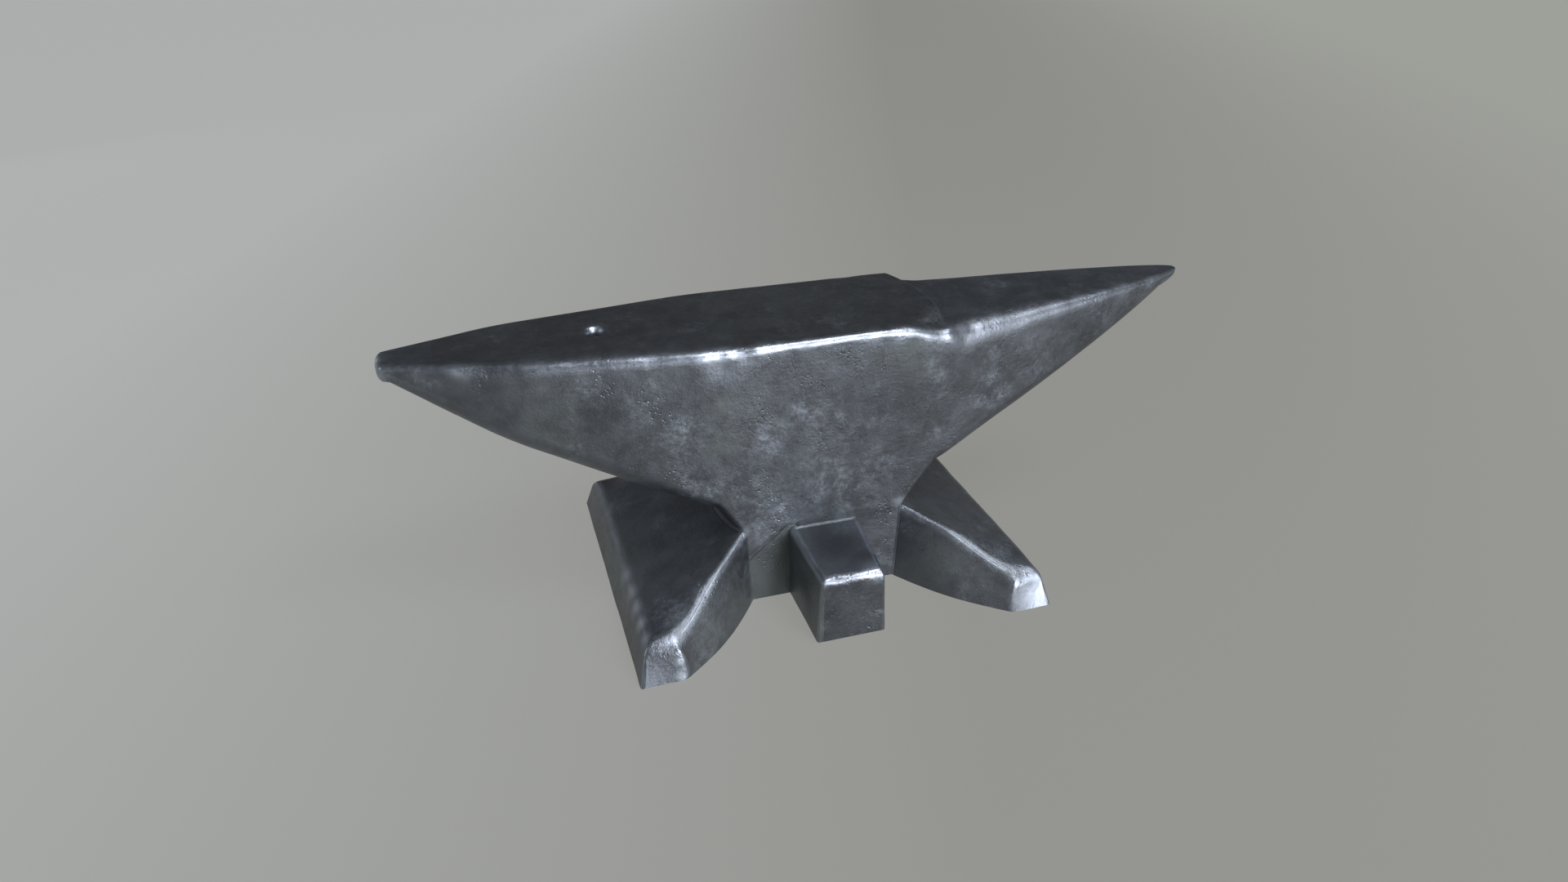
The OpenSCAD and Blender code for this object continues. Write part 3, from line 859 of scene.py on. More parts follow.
def build_plate(name, first, last, hole):
    """A plate between two rows: the skin above the plate line, its seat, and end walls."""
    s = bpy.context.scene.anvil_sizes
    parts = [part[first : last + 1][:, over_columns()] for part in on_skin()]
    seat = seat_of(*parts)
    shell = Shell()
    upper, lower = shell.add(*parts), shell.add(*seat)
    block = (block_around(parts[0], s), block_around(seat[0], s)) if hole else (None, None)
    shell.join(upper, block[0])
    shell.join(lower, block[1])
    for row in (0, -1):
        shell.strip(upper[row], lower[row])
    if hole:
        bore(shell, upper, block[0], lower, block[1], s, s.funnel_depth)
    return shell.build("forged_" + name)


def build_body():
    """The body's core: the skin below the plate line, the plate's seat on top, and end faces."""
    rows = skin()[2]
    part = slice(rows["root"], rows["step"] + 1)
    shell = Shell()
    index = shell.add(*(values[part][:, under_columns()] for values in on_skin()))
    seat = shell.add(*seat_of(*(values[part][:, over_columns()] for values in on_skin())))
    shell.join(index)
    shell.join(seat)
    for row in (0, -1):
        shell.cap(np.concatenate([seat[row], index[row, ::-1]]))
    return shell.build("forged_body_core")


def build_round_horn():
    """The round horn: the skin past the face's end, run straight back to a flat root that is
    let a little way into the body, and closed at the point."""
    rows = skin()[2]
    ring, proud, normals = (part[rows["step"] :, :-1] for part in on_skin())
    shell = Shell()
    index = shell.add(ring, proud, normals)
    shell.join(np.concatenate([index, index[:, :1]], axis=1))
    root = ring[0].copy()
    root[:, 0] = FACE_RIGHT - HORN_SEAT_DEPTH
    inner = shell.add(root)
    shell.strip(index[0], inner, closed=True)
    shell.cap(inner)
    shell.cap(index[-1], 2)
    return shell.build("forged_round_horn")


def build_flat_horn():
    """The flat horn: a whole section out to the tip, and the part under the plate with the
    plate's seat, end face and the pritchel hole."""
    s = bpy.context.scene.anvil_sizes
    rows = skin()[2]
    cut, root = rows["plate"], rows["root"]
    over, under = over_columns(), under_columns()
    shell = Shell()
    tip_over = shell.add(*(part[: cut + 1][:, over] for part in on_skin()))
    below = [part[: root + 1][:, under] for part in on_skin()]
    all_under = shell.add(*below)
    seat_parts = seat_of(*(part[cut : root + 1][:, over] for part in on_skin()))
    seat = shell.add(*seat_parts)
    shell.join(tip_over)
    shell.strip(tip_over[-1], seat[0])
    seat_block = block_around(seat_parts[0], s)
    under_block = block_around(below[0], s)
    shell.join(seat, seat_block)
    shell.join(all_under, under_block)
    bore(shell, seat, seat_block, all_under, under_block, s, 0.0)
    shell.cap(np.concatenate([seat[-1], all_under[-1, ::-1]]))
    shell.cap(np.concatenate([tip_over[0], all_under[0, ::-1]]), 3)
    return shell.build("forged_flat_horn")


# ---------------------------------------------------------------------------------------------
# The base: core, four feet and the upsetting block

# Rounds of settling onto a rounded form, and the furthest that a point may then be off it
SETTLE_ROUNDS, SETTLE_REACH = 4, 0.006
# A foot's grid: rows along the waist, along the chord to the toe and over the toe's face, and
# steps up the inner side, over the top and down the outer side
WAIST_ROWS, CHORD_ROWS, TOE_ROWS, FOOT_STEPS = 44, 77, 25, (42, 74, 28)
# How far the inner side's top stands back from its foot, and how far the side runs back into
# the core
INNER_LEAN, INNER_RUN_BACK = 0.004, 0.06
# The stretch in front of the toe over which the top levels, and by what share
TOE_LEVEL, TOE_LEVEL_SHARE = (0.055, 0.010), 0.75
# Rounding between a foot's walls, towards its toe's face, along its top and more at the toe,
# and the reach of that last one
WALL_ROUND, TOE_ROUND, TOP_ROUND, CORNER_ROUND, CORNER_REACH = 0.003, 0.0025, 0.0075, 0.006, 0.015
# Half a step of Y, for slopes of curves
NUDGE = 0.002
# Rows and columns that lie on the top of a foot and of the block
FOOT_TOP, BLOCK_TOP = (slice(10, 60), slice(60, 90)), (slice(10, 50), slice(80, 100))
# Rows of the core from floor to weld, points on each end of its plan and on each side
CORE_ROWS, CORE_END, CORE_SIDE = 60, 60, 88
# The plinth's face: its left and right end, where its edge starts, and how steeply that rises
PLINTH_SPAN, PLINTH_START, PLINTH_SLOPE = (-0.0695, -0.025), -0.0658, 0.832
# The block's rows outwards and over its front, its steps up, over and down, and its roundings
# between the sides, at the front and along the top
BLOCK_ROWS, BLOCK_FRONT_ROWS, BLOCK_STEPS = 74, 33, (62, 60, 62)
BLOCK_SIDE_ROUND, BLOCK_END_ROUND, BLOCK_TOP_ROUND = 0.002, 0.003, 0.0055
# The weld's lip behind the block: how far it runs out and how high it rises
LIP_RUN, LIP_RISE = 0.0022, 0.0014


def run_through(corners, counts):
    """Straight runs through corner points for every row at once, with the given numbers of
    steps. corners has the shape rows x corners x 3."""
    parts = [corners[:, :1]]
    for k, count in enumerate(counts):
        u = np.linspace(0, 1, count + 1)[None, 1:, None]
        parts.append(mix(corners[:, k : k + 1], corners[:, k + 1 : k + 2], u))
    return np.concatenate(parts, axis=1)


def joined(first, second, reach):
    """Smooth maximum of two distance fields (value, gradient): the greater value plus
    (reach - difference)^2 / 4 reach where they are closer than the reach."""
    a, da = first
    b, db = second
    share_a = np.clip(0.5 + (a - b) / (2 * reach), 0, 1)
    value = np.maximum(a, b) + np.clip(reach - np.abs(a - b), 0, None) ** 2 / (4 * reach)
    return value, share_a[..., None] * da + (1 - share_a[..., None]) * db


def plane(points, place, normal):
    """Distance field of a plane through a place, with its unit normal outwards."""
    n = np.array(normal, float)
    n = n / np.linalg.norm(n)
    return (points - np.array(place)) @ n, np.broadcast_to(n, points.shape)


def settled(points, field):
    """Moves points onto the rounded form: value over gradient length, along the gradient, a few
    times. Points further off than the reach are inside the part and stay; floor points stay
    on the floor."""
    floor = points[..., 2] < MERGE
    for _ in range(SETTLE_ROUNDS):
        value, slope = field(points)
        size = np.maximum(np.sum(slope**2, axis=-1), 0.2)
        step = np.where(np.abs(value) < SETTLE_REACH, value, 0) / size
        points = points - slope * step[..., None]
        points[..., 2] = np.where(floor, 0, np.maximum(points[..., 2], 0))
    return points


def inner_side(s):
    """Plan curves of a foot's inner side against Y, on the floor and at its top: the waist's
    half-ellipse end, then a chord to the toe, bowed by a half sine on the floor."""
    near = WAIST_HALF * np.sin(np.linspace(0, np.pi / 2, WAIST_ROWS))
    t = np.linspace(0, 1, CHORD_ROWS + 1)[1:]
    waist = s.waist_x + (WAIST_END - s.waist_x) * np.sqrt(1 - (near / WAIST_HALF) ** 2) - SEAT_DEPTH
    behind = near > WAIST_HALF - 0.003
    toe_x, start_x = FOOT_X - s.toe_len, s.waist_x - INNER_LEAN
    dx, dy = toe_x - s.toe_spread - start_x, FOOT_Y - WAIST_HALF
    out = s.foot_bow * np.sin(np.pi * t) / np.hypot(dx, dy)
    floor_x = np.concatenate([np.where(behind, start_x, waist), start_x + dx * t - dy * out])
    floor_y = np.concatenate([near, WAIST_HALF + dy * t + dx * out])
    top_x = np.concatenate([np.where(behind, s.waist_x, waist), mix(s.waist_x, toe_x, t)])
    top_y = np.concatenate([near, mix(WAIST_HALF, FOOT_Y - s.toe_lean + INNER_LEAN, t)])
    return floor_x, floor_y, top_x, top_y


def foot_half(s):
    """Grid of one foot in the corner where X and Y are positive. Rows run outwards in Y, from
    the mid plane to the toe, and then close over the toe's face; columns run up the inner
    side, down the sloping top and down the outer side. The sharp form is then rounded as a
    smooth maximum of its faces' distances."""
    slope = (WAIST_Z - s.foot_edge_z) / (FOOT_X - s.foot_lean - s.waist_x)
    edge_x = FOOT_X - s.foot_lean
    floor_x, floor_y, top_x, top_y = inner_side(s)

    def fall(y):
        level = ramp(FOOT_Y - TOE_LEVEL[0], FOOT_Y - TOE_LEVEL[1], y)
        return slope * (1 - TOE_LEVEL_SHARE * level)

    top_z = s.foot_edge_z + (edge_x - top_x) * fall(top_y)
    t = floor_y / FOOT_Y
    zero = 0 * t
    corners = np.stack([
        np.stack([floor_x, floor_y, zero], axis=-1),
        np.stack([top_x, top_y, top_z], axis=-1),
        np.stack([edge_x + zero, t * (FOOT_Y - s.toe_lean), s.foot_edge_z + zero], axis=-1),
        np.stack([FOOT_X + zero, t * FOOT_Y, zero], axis=-1),
    ], axis=1)
    rows = run_through(corners, FOOT_STEPS)
    toe_leans = [(s.toe_lean - INNER_LEAN) / top_z[-1], s.toe_lean / s.foot_edge_z]
    leans = ([FOOT_X - s.toe_len, edge_x], toe_leans)

    def toe_y(x, z):
        return FOOT_Y - z * np.interp(x, *leans)

    off = toe_y(rows[-1, :, 0], rows[-1, :, 2]) - rows[-1, :, 1]
    rows[:, :, 1] += (t**3)[:, None] * off
    foot = np.array([(rows[-1, 0, 0] + rows[-1, -1, 0]) / 2, FOOT_Y, 0.0])
    face = np.array([mix(rows[-1], foot, k) for k in np.linspace(0, 1, TOE_ROWS + 1)[1:]])
    face[..., 1] = toe_y(face[..., 0], face[..., 2])
    grid = np.concatenate([rows, face])
    # The side's curves from the waist's corner on, run back straight into the core
    side = slice(len(top_x) - CHORD_ROWS, None)
    back_x, back_y = s.waist_x - INNER_RUN_BACK, WAIST_HALF - INNER_RUN_BACK

    def wall_x(y, part):
        low = np.interp(y, np.append(back_y, floor_y[side]), np.append(back_x, floor_x[side]))
        high = np.interp(y, np.append(back_y, top_y[side]), np.append(back_x, top_x[side]))
        return mix(low, high, part)

    def field(p):
        x, y, z = p[..., 0], p[..., 1], p[..., 2]
        part = np.clip(z / np.maximum(np.interp(y, top_y, top_z), 0.01), 0, 1)
        run = wall_x(y + NUDGE, part) - wall_x(y - NUDGE, part)
        tilt = np.clip(run / (2 * NUDGE), -0.3, 1.5)
        flat = 1 / np.sqrt(1 + tilt**2)
        inner = ((wall_x(y, part) - x) * flat, np.stack([-flat, tilt * flat, 0 * flat], axis=-1))
        outer = plane(p, (FOOT_X, 0, 0), (s.foot_edge_z, 0, s.foot_lean))
        lean = np.interp(x, *leans)
        flat = 1 / np.sqrt(1 + lean**2)
        end = ((y - FOOT_Y + z * lean) * flat, np.stack([0 * flat, flat, lean * flat], axis=-1))
        rise = (edge_x - x) * (fall(y + NUDGE) - fall(y - NUDGE)) / (2 * NUDGE)
        flat = 1 / np.sqrt(1 + fall(y) ** 2 + rise**2)
        height = s.foot_edge_z + (edge_x - x) * fall(y)
        over = ((z - height) * flat, np.stack([fall(y) * flat, -rise * flat, flat], axis=-1))
        walls = joined(joined(inner, outer, WALL_ROUND), end, TOE_ROUND)
        corner = np.hypot(x - FOOT_X + s.toe_len, y - FOOT_Y + s.toe_lean) / CORNER_REACH
        ragged = 1 + 0.2 * clouds(p, 0.016, 61)
        return joined(walls, over, (TOP_ROUND + CORNER_ROUND * np.exp(-(corner**2))) * ragged)

    hidden = (grid[..., 1] < WAIST_HALF) & (np.arange(grid.shape[1]) < FOOT_STEPS[0])
    return np.where(hidden[..., None], grid, settled(grid, field))


def forged_block(grid, upright, still):
    """Sinks a grid by the forging field and gives its proudness. Floor points stay level, and
    still says by what share each point moves; upright names rows and columns that look up."""
    finish = bpy.context.scene.anvil_finish
    normals = grid_normals(grid)
    normals = normals * np.sign(np.mean(normals[upright][..., 2]))
    sunk = forging(grid, normals, finish) * LOWER_WAVES * still
    moved = grid - normals * sunk[..., None]
    moved[..., 2] = np.where(grid[..., 2] < MERGE, 0, moved[..., 2])
    moved = inside_cad(moved)
    fresh = grid_normals(moved)
    fresh = fresh * np.sign(np.mean(fresh[upright][..., 2]))
    return moved, proudness(moved, fresh)


def build_foot(name, side_x, side_y):
    """One foot: the corner grid mirrored into place, forged, and closed underneath and on the
    mid plane. It stays still where it meets the waist."""
    s = bpy.context.scene.anvil_sizes
    grid = foot_half(s) * np.array([side_x, side_y, 1.0])
    x, y = np.abs(grid[..., 0]), np.abs(grid[..., 1])
    bulge = s.waist_x + (WAIST_END - s.waist_x) * np.sqrt(np.clip(1 - (y / WAIST_HALF) ** 2, 0, 1))
    clear = np.where(y < WAIST_HALF + 0.001, x - bulge, 1.0)
    moved, proud = forged_block(grid, FOOT_TOP, ramp(0.0, 0.006, clear))
    # A painted highlight line along the weld to the waist, given as proudness
    proud = np.maximum(proud, 0.9 * (1 - ramp(0.0002, 0.0011, np.abs(clear))))
    shell = Shell()
    index = shell.add(moved, proud)
    shell.join(index)
    shell.strip(index[:, 0], index[:, -1])
    shell.cap(index[0])
    return shell.build("forged_" + name)


def waist_plan(s):
    """Plan of the waist: straight sides and half-ellipse ends, as one closed ring."""
    a = np.radians(np.linspace(-90, 90, CORE_END))
    side = np.linspace(-1, 1, CORE_SIDE + 2)[1:-1]
    end_x = s.waist_x + (WAIST_END - s.waist_x) * np.cos(a)
    end = np.stack([end_x, WAIST_HALF * np.sin(a)], axis=-1)
    back = np.stack([-side * s.waist_x, WAIST_HALF + 0 * side], axis=-1)
    return np.concatenate([end, back, -end, -back])


def plinth(points):
    """1 on the flat face low on the front's left, under a line that slants up to the block."""
    x, y, z = points[..., 0], points[..., 1], points[..., 2]
    edge = bpy.context.scene.anvil_sizes.plinth_z + (x - PLINTH_START) * PLINTH_SLOPE
    under = ramp(-0.0006, 0.0006, edge - z)
    return under * (y < 0) * (x > PLINTH_SPAN[0]) * (x < PLINTH_SPAN[1])


def build_core():
    """The base's core: the waist's plan carried from the floor to the weld under the body,
    with a low plinth face that stands back a little on the front between foot and block."""
    scene = bpy.context.scene
    s, finish = scene.anvil_sizes, scene.anvil_finish
    plan = waist_plan(s)
    level = np.broadcast_to(np.linspace(0, WAIST_Z, CORE_ROWS)[:, None], (CORE_ROWS, len(plan)))
    x, y = (np.broadcast_to(plan[None, :, axis], level.shape) for axis in (0, 1))
    grid = np.stack([x, y, level], axis=-1)
    out = np.gradient(np.concatenate([plan, plan[:2]]), axis=0)[: len(plan)]
    flat = np.stack([out[:, 1], -out[:, 0], 0 * out[:, 0]], axis=-1)
    flat = flat / np.linalg.norm(flat, axis=-1, keepdims=True)
    normals = np.broadcast_to(flat[None], grid.shape)
    sunk = forging(grid, normals, finish)
    calm = ramp(0.0, WELD_CALM, np.abs(level - WAIST_Z)) * ramp(0.0, 0.004, level)
    sunk = sunk * calm * (1 - 0.8 * plinth(grid)) + s.plinth_depth * plinth(grid)
    moved = inside_cad(grid - normals * sunk[..., None])
    fresh = grid_normals(moved)
    fresh = fresh * np.sign(np.sum(fresh * normals))
    shell = Shell()
    index = shell.add(moved, proudness(moved, fresh) * ramp(0.0, WELD_DULL, WAIST_Z - level))
    shell.join(np.concatenate([index, index[:, :1]], axis=1))
    shell.cap(index[0])
    shell.cap(index[-1])
    return shell.build("forged_base_core")


def build_block():
    """The upsetting block: rows run out from the base; columns go up the left side, over the
    top and down the right side, and the front face closes towards its foot. The sharp form is
    then rounded as a smooth maximum of its faces' distances, and a weld lip rises behind it."""
    s = bpy.context.scene.anvil_sizes
    out = BLOCK_ROOT_Y - BLOCK_Y
    t = np.append(-SEAT_DEPTH / out, np.linspace(0, 1, BLOCK_ROWS))
    y = mix(BLOCK_ROOT_Y, BLOCK_Y, t)
    top = mix(s.block_root_w, s.block_front_w, t) / 2
    height = mix(BLOCK_ROOT_Z, s.block_front_z, t)
    zero = 0 * y
    corners = np.stack([
        np.stack([-s.block_w / 2 + zero, y, zero], axis=-1),
        np.stack([-top, y, height], axis=-1),
        np.stack([top, y, height], axis=-1),
        np.stack([s.block_w / 2 + zero, y, zero], axis=-1),
    ], axis=1)
    rows = run_through(corners, BLOCK_STEPS)
    foot = np.array([0, BLOCK_Y, 0.0])
    front = [mix(rows[-1], foot, k) for k in np.linspace(0, 1, BLOCK_FRONT_ROWS + 1)[1:]]
    grid = np.concatenate([rows, np.array(front)])
    narrow = (s.block_root_w - s.block_front_w) / 2 / out
    fall = (BLOCK_ROOT_Z - s.block_front_z) / out
    spread = (s.block_w - s.block_root_w) / 2 / BLOCK_ROOT_Z
    top_halves = [s.block_front_w / 2, s.block_root_w / 2]

    def field(p):
        part = np.clip(p[..., 2] / BLOCK_ROOT_Z, 0, 1)
        width = mix(s.block_w / 2, np.interp(p[..., 1], [BLOCK_Y, BLOCK_ROOT_Y], top_halves), part)
        sides = []
        for side in (-1, 1):
            value = side * p[..., 0] - width
            slope = np.stack([side + 0 * value, -narrow * part, spread + 0 * value], axis=-1)
            sides.append((value, slope))
        over = plane(p, (0, BLOCK_ROOT_Y, BLOCK_ROOT_Z), (0, -fall, 1))
        end = plane(p, (0, BLOCK_Y, 0), (0, -1, 0))
        walls = joined(joined(*sides, BLOCK_SIDE_ROUND), end, BLOCK_END_ROUND)
        return joined(walls, over, BLOCK_TOP_ROUND * (1 + 0.2 * clouds(p, 0.012, 71)))

    grid = settled(grid, field)
    gap = np.clip(1 - (BLOCK_ROOT_Y - grid[..., 1]) / LIP_RUN, 0, 1)
    lift = LIP_RISE * gap**2 * ramp(0.052, 0.064, grid[..., 2])
    grid[..., 2] += lift * (1 - ramp(0.026, 0.031, np.abs(grid[..., 0])))
    still = ramp(0.0, 0.005, BLOCK_ROOT_Y - grid[..., 1])
    moved, proud = forged_block(grid, BLOCK_TOP, still)
    shell = Shell()
    index = shell.add(moved, proud)
    shell.join(index)
    shell.strip(index[:, 0], index[:, -1])
    shell.cap(index[0])
    return shell.build("forged_upsetting_block")


# ---------------------------------------------------------------------------------------------
# Materials


class Nodes:
    """Adds nodes to a material and links them, value by value."""

    def __init__(self, name):
        self.material = bpy.data.materials.new(name)
        self.material.use_nodes = True
        self.tree = self.material.node_tree
        self.shader = self.tree.nodes["Principled BSDF"]
        self.place = self.new("ShaderNodeTexCoord").outputs["Object"]

    def new(self, kind, **settings):
        """A node of this kind with these settings."""
        node = self.tree.nodes.new(kind)
        for key, value in settings.items():
            setattr(node, key, value)
        return node

    def put(self, value, socket):
        """Links an output to a socket, or sets the socket to a number or colour."""
        if isinstance(value, bpy.types.NodeSocket):
            self.tree.links.new(value, socket)
        else:
            socket.default_value = value

    def noise(self, scale, detail, rough, stretch=None):
        """Noise over the part's own place, stretched along the axes where that is given."""
        node = self.new("ShaderNodeTexNoise")
        place = self.place
        if stretch is not None:
            mapping = self.new("ShaderNodeMapping")
            mapping.inputs["Scale"].default_value = stretch
            self.put(place, mapping.inputs["Vector"])
            place = mapping.outputs["Vector"]
        self.put(place, node.inputs["Vector"])
        for key, value in (("Scale", scale), ("Detail", detail), ("Roughness", rough)):
            node.inputs[key].default_value = value
        return node.outputs["Fac"]

    def math(self, operation, a, b=0.0, clamp=False):
        node = self.new("ShaderNodeMath", operation=operation, use_clamp=clamp)
        self.put(a, node.inputs[0])
        self.put(b, node.inputs[1])
        return node.outputs[0]

    def span(self, value, low, high, to_low=0.0, to_high=1.0, smooth=True):
        """Carries the range low to high over to another range."""
        node = self.new("ShaderNodeMapRange", interpolation_type="SMOOTHSTEP" if smooth else "LINEAR")
        self.put(value, node.inputs["Value"])
        for key, number in (("From Min", low), ("From Max", high), ("To Min", to_low), ("To Max", to_high)):
            node.inputs[key].default_value = number
        return node.outputs["Result"]

    def blend(self, share_in, a, b):
        """Colour a, b or a share between them."""
        node = self.new("ShaderNodeMix", data_type="RGBA")
        self.put(share_in, node.inputs["Factor"])
        for value, socket in ((a, node.inputs[6]), (b, node.inputs[7])):
            self.put(value if isinstance(value, bpy.types.NodeSocket) else (*value, 1.0), socket)
        return node.outputs[2]

    def cells(self, scale, reach):
        """1 at the middle of each cell, down to 0 at the reach."""
        node = self.new("ShaderNodeTexVoronoi")
        self.put(self.place, node.inputs["Vector"])
        node.inputs["Scale"].default_value = scale
        return self.span(node.outputs["Distance"], 0.0, reach, 1.0, 0.0)

    def bump(self, height, distance, before=None, strength=1.0):
        """Normals from a height, on top of those from before."""
        node = self.new("ShaderNodeBump")
        node.inputs["Strength"].default_value = strength
        node.inputs["Distance"].default_value = distance
        self.put(height, node.inputs["Height"])
        if before is not None:
            self.put(before, node.inputs["Normal"])
        return node.outputs["Normal"]


def worn_metal(name, finish, steel_top):
    """Old worked iron: clouds of three tones, rubbed pale patches broken up by fine grain, speckle, a dull
    greenish tone that is partly oxide and partly painted shade, painted shade in listed patches, dirt in
    hollows, bare bright metal on the edges that the proud attribute marks, painted highlights in that
    metal's colour, and on the steel, tops painted darker as painted shade; grain, small pits and ripples as
    bump."""
    n = Nodes(name)
    proud, rubbed_at, oxide_and_shade_at, painted_shade_at, painted_highlight_at, pitted_at = (
        n.new("ShaderNodeAttribute", attribute_name=key).outputs["Fac"]
        for key in ("proud", "rubbed", "oxide", "soot", "bright", "pitted")
    )
    broad, middle = n.noise(14, 5, 0.62), n.noise(48, 6, 0.66)
    fine, grain = n.noise(230, 6, 0.74), n.noise(820, 4, 0.75)
    mixed = n.math("ADD", n.math("MULTIPLY", broad, 0.55), n.math("MULTIPLY", middle, 0.45))
    body = n.span(mixed, 0.40, 0.60)
    tone = n.blend(body, tuple(finish.iron_dark), tuple(finish.iron_mid))
    light = tuple(finish.iron_light)
    # Faces of the steel that look up take darker tones: painted shade.
    if steel_top:
        top_shade_at = n.new("ShaderNodeAttribute", attribute_name="ground").outputs["Fac"]
        top_shade_tone = n.blend(body, tuple(finish.top_shade_dark), tuple(finish.top_shade_mid))
        tone = n.blend(top_shade_at, tone, top_shade_tone)
    crumbs = n.math("MULTIPLY", n.span(fine, 0.36, 0.68, 0.12, 1.0), n.span(middle, 0.38, 0.64, 0.1, 1.0))
    patch = n.math("MAXIMUM", rubbed_at, n.span(n.noise(21, 5, 0.6), 0.54, 0.70, 0.0, 0.75))
    tone = n.blend(n.math("MULTIPLY", patch, crumbs), tone, light)
    speck = n.math("MULTIPLY", n.span(grain, 0.58, 0.68), n.span(fine, 0.46, 0.62))
    tone = n.blend(n.math("MULTIPLY", speck, 0.55), tone, light)
    # A dull greenish tone, partly oxide, partly painted shade on the plinth and low sheltered faces
    dull_and_shaded = n.math("MULTIPLY", oxide_and_shade_at, n.span(middle, 0.25, 0.6, 0.45, 0.95))
    tone = n.blend(dull_and_shaded, tone, tuple(finish.oxide))
    if steel_top:
        streak = n.span(n.noise(70, 5, 0.65, (0.22, 1.5, 1.0)), 0.50, 0.70)
        streak = n.math("MULTIPLY", n.math("MULTIPLY", streak, 0.5), top_shade_at)
        tone = n.blend(streak, tone, tuple(finish.top_shade_mid))
    # Painted shade in the listed patches, in the dirt's colour
    tone = n.blend(n.math("MULTIPLY", painted_shade_at, 0.90), tone, tuple(finish.dirt_and_shade))
    hollow = n.math("MULTIPLY", n.span(proud, -0.22, -1.1), n.span(fine, 0.25, 0.6, 0.5, 1.0))
    tone = n.blend(n.math("MULTIPLY", hollow, 0.55), tone, tuple(finish.dirt_and_shade))
    # Bare metal on proud edges; this also paints the highlight line along each foot's weld
    bare_and_highlight = n.math("MULTIPLY", n.span(proud, 0.08, 0.80), n.span(middle, 0.30, 0.60, 0.55, 1.0))
    tone = n.blend(n.math("MULTIPLY", bare_and_highlight, 0.26), tone, tuple(finish.worn))
    # Painted highlights, in the bare metal's colour
    shown = n.math("MULTIPLY", painted_highlight_at, n.span(fine, 0.36, 0.62, 0.78, 1.0))
    tone = n.blend(shown, tone, tuple(finish.worn))
    n.put(tone, n.shader.inputs["Base Color"])
    rough = n.math("ADD", n.span(middle, 0.3, 0.7, 0.33, 0.45), n.span(fine, 0.3, 0.7, -0.05, 0.07))
    rough = n.math("SUBTRACT", rough, n.math("MULTIPLY", bare_and_highlight, 0.07))
    rough = n.math("ADD", rough, n.math("MULTIPLY", dull_and_shaded, 0.12))
    rough = n.math("SUBTRACT", rough, n.math("MULTIPLY", shown, 0.04))
    n.put(n.math("ADD", rough, n.math("MULTIPLY", hollow, 0.2), True), n.shader.inputs["Roughness"])
    n.shader.inputs["Metallic"].default_value = 0.9
    pit_share = n.span(n.noise(30, 3, 0.5), 0.52, 0.68)
    pit = n.math("MULTIPLY", n.cells(260, 0.32), pit_share)
    calm = n.math("SUBTRACT", 1.0, n.math("MULTIPLY", n.math("MAXIMUM", bare_and_highlight, shown), 0.9))
    relief = n.math("MULTIPLY", n.math("SUBTRACT", fine, n.math("MULTIPLY", pit, 1.1)), calm)
    normal = n.bump(relief, 0.0006, strength=0.8)
    normal = n.bump(n.math("MULTIPLY", grain, calm), 0.00025, normal, 0.7)
    if steel_top:
        scratch = n.noise(1500, 2, 0.5, (0.04, 1.0, 0.5))
        normal = n.bump(scratch, 0.00006, normal, 0.5)
    ripple = n.math("MULTIPLY", n.noise(420, 3, 0.6), pitted_at)
    normal = n.bump(ripple, 0.0007, normal, 0.55)
    n.put(normal, n.shader.inputs["Normal"])
    return n.material


def paint(pieces, material):
    """Gives the pieces this one material."""
    for piece in pieces:
        piece.data.materials.clear()
        piece.data.materials.append(material)


def iron():
    """The forged sides' material, made once."""
    found = bpy.data.materials.get("forged_iron_worn")
    return found or worn_metal("forged_iron_worn", bpy.context.scene.anvil_finish, False)


def steel():
    """The working faces' material, made once."""
    found = bpy.data.materials.get("face_steel_worn")
    return found or worn_metal("face_steel_worn", bpy.context.scene.anvil_finish, True)


# ---------------------------------------------------------------------------------------------
# Operators


class ANVIL_OT_faces(bpy.types.Operator):
    """Builds the steel plates on the face and on the flat horn"""

    bl_idname = "anvil.faces"
    bl_label = "Steel faces"

    def execute(self, context):
        rows = skin()[2]
        pieces = [
            build_plate("face_plate", rows["root"], rows["step"], False),
            build_plate("flat_horn_plate", rows["plate"], rows["root"], True),
        ]
        paint(pieces, steel())
        return {"FINISHED"}


class ANVIL_OT_body(bpy.types.Operator):
    """Builds the forged body between the horns"""

    bl_idname = "anvil.body"
    bl_label = "Body"

    def execute(self, context):
        paint([build_body()], iron())
        return {"FINISHED"}


class ANVIL_OT_round_horn(bpy.types.Operator):
    """Builds the round horn"""

    bl_idname = "anvil.round_horn"
    bl_label = "Round horn"

    def execute(self, context):
        paint([build_round_horn()], iron())
        return {"FINISHED"}


class ANVIL_OT_flat_horn(bpy.types.Operator):
    """Builds the flat horn under its plate, with the pritchel hole"""

    bl_idname = "anvil.flat_horn"
    bl_label = "Flat horn"

    def execute(self, context):
        paint([build_flat_horn()], iron())
        return {"FINISHED"}


class ANVIL_OT_base(bpy.types.Operator):
    """Builds the base's core and its four feet"""

    bl_idname = "anvil.base"
    bl_label = "Base and feet"

    def execute(self, context):
        pieces = [build_core()]
        for name, side_x, side_y in (
            ("front_left_foot", -1, -1),
            ("front_right_foot", 1, -1),
            ("rear_left_foot", -1, 1),
            ("rear_right_foot", 1, 1),
        ):
            pieces.append(build_foot(name, side_x, side_y))
        paint(pieces, iron())
        return {"FINISHED"}


class ANVIL_OT_block(bpy.types.Operator):
    """Builds the upsetting block"""

    bl_idname = "anvil.block"
    bl_label = "Upsetting block"

    def execute(self, context):
        paint([build_block()], iron())
        return {"FINISHED"}


# Camera: place, turn in degrees and width of the sensor in millimetres
CAMERA_PLACE, CAMERA_TURN, SENSOR = (-0.26647, -0.78754, 0.56729), (61.495, 0.0, -17.581), 36.0
CAMERA_FAR = 50.0
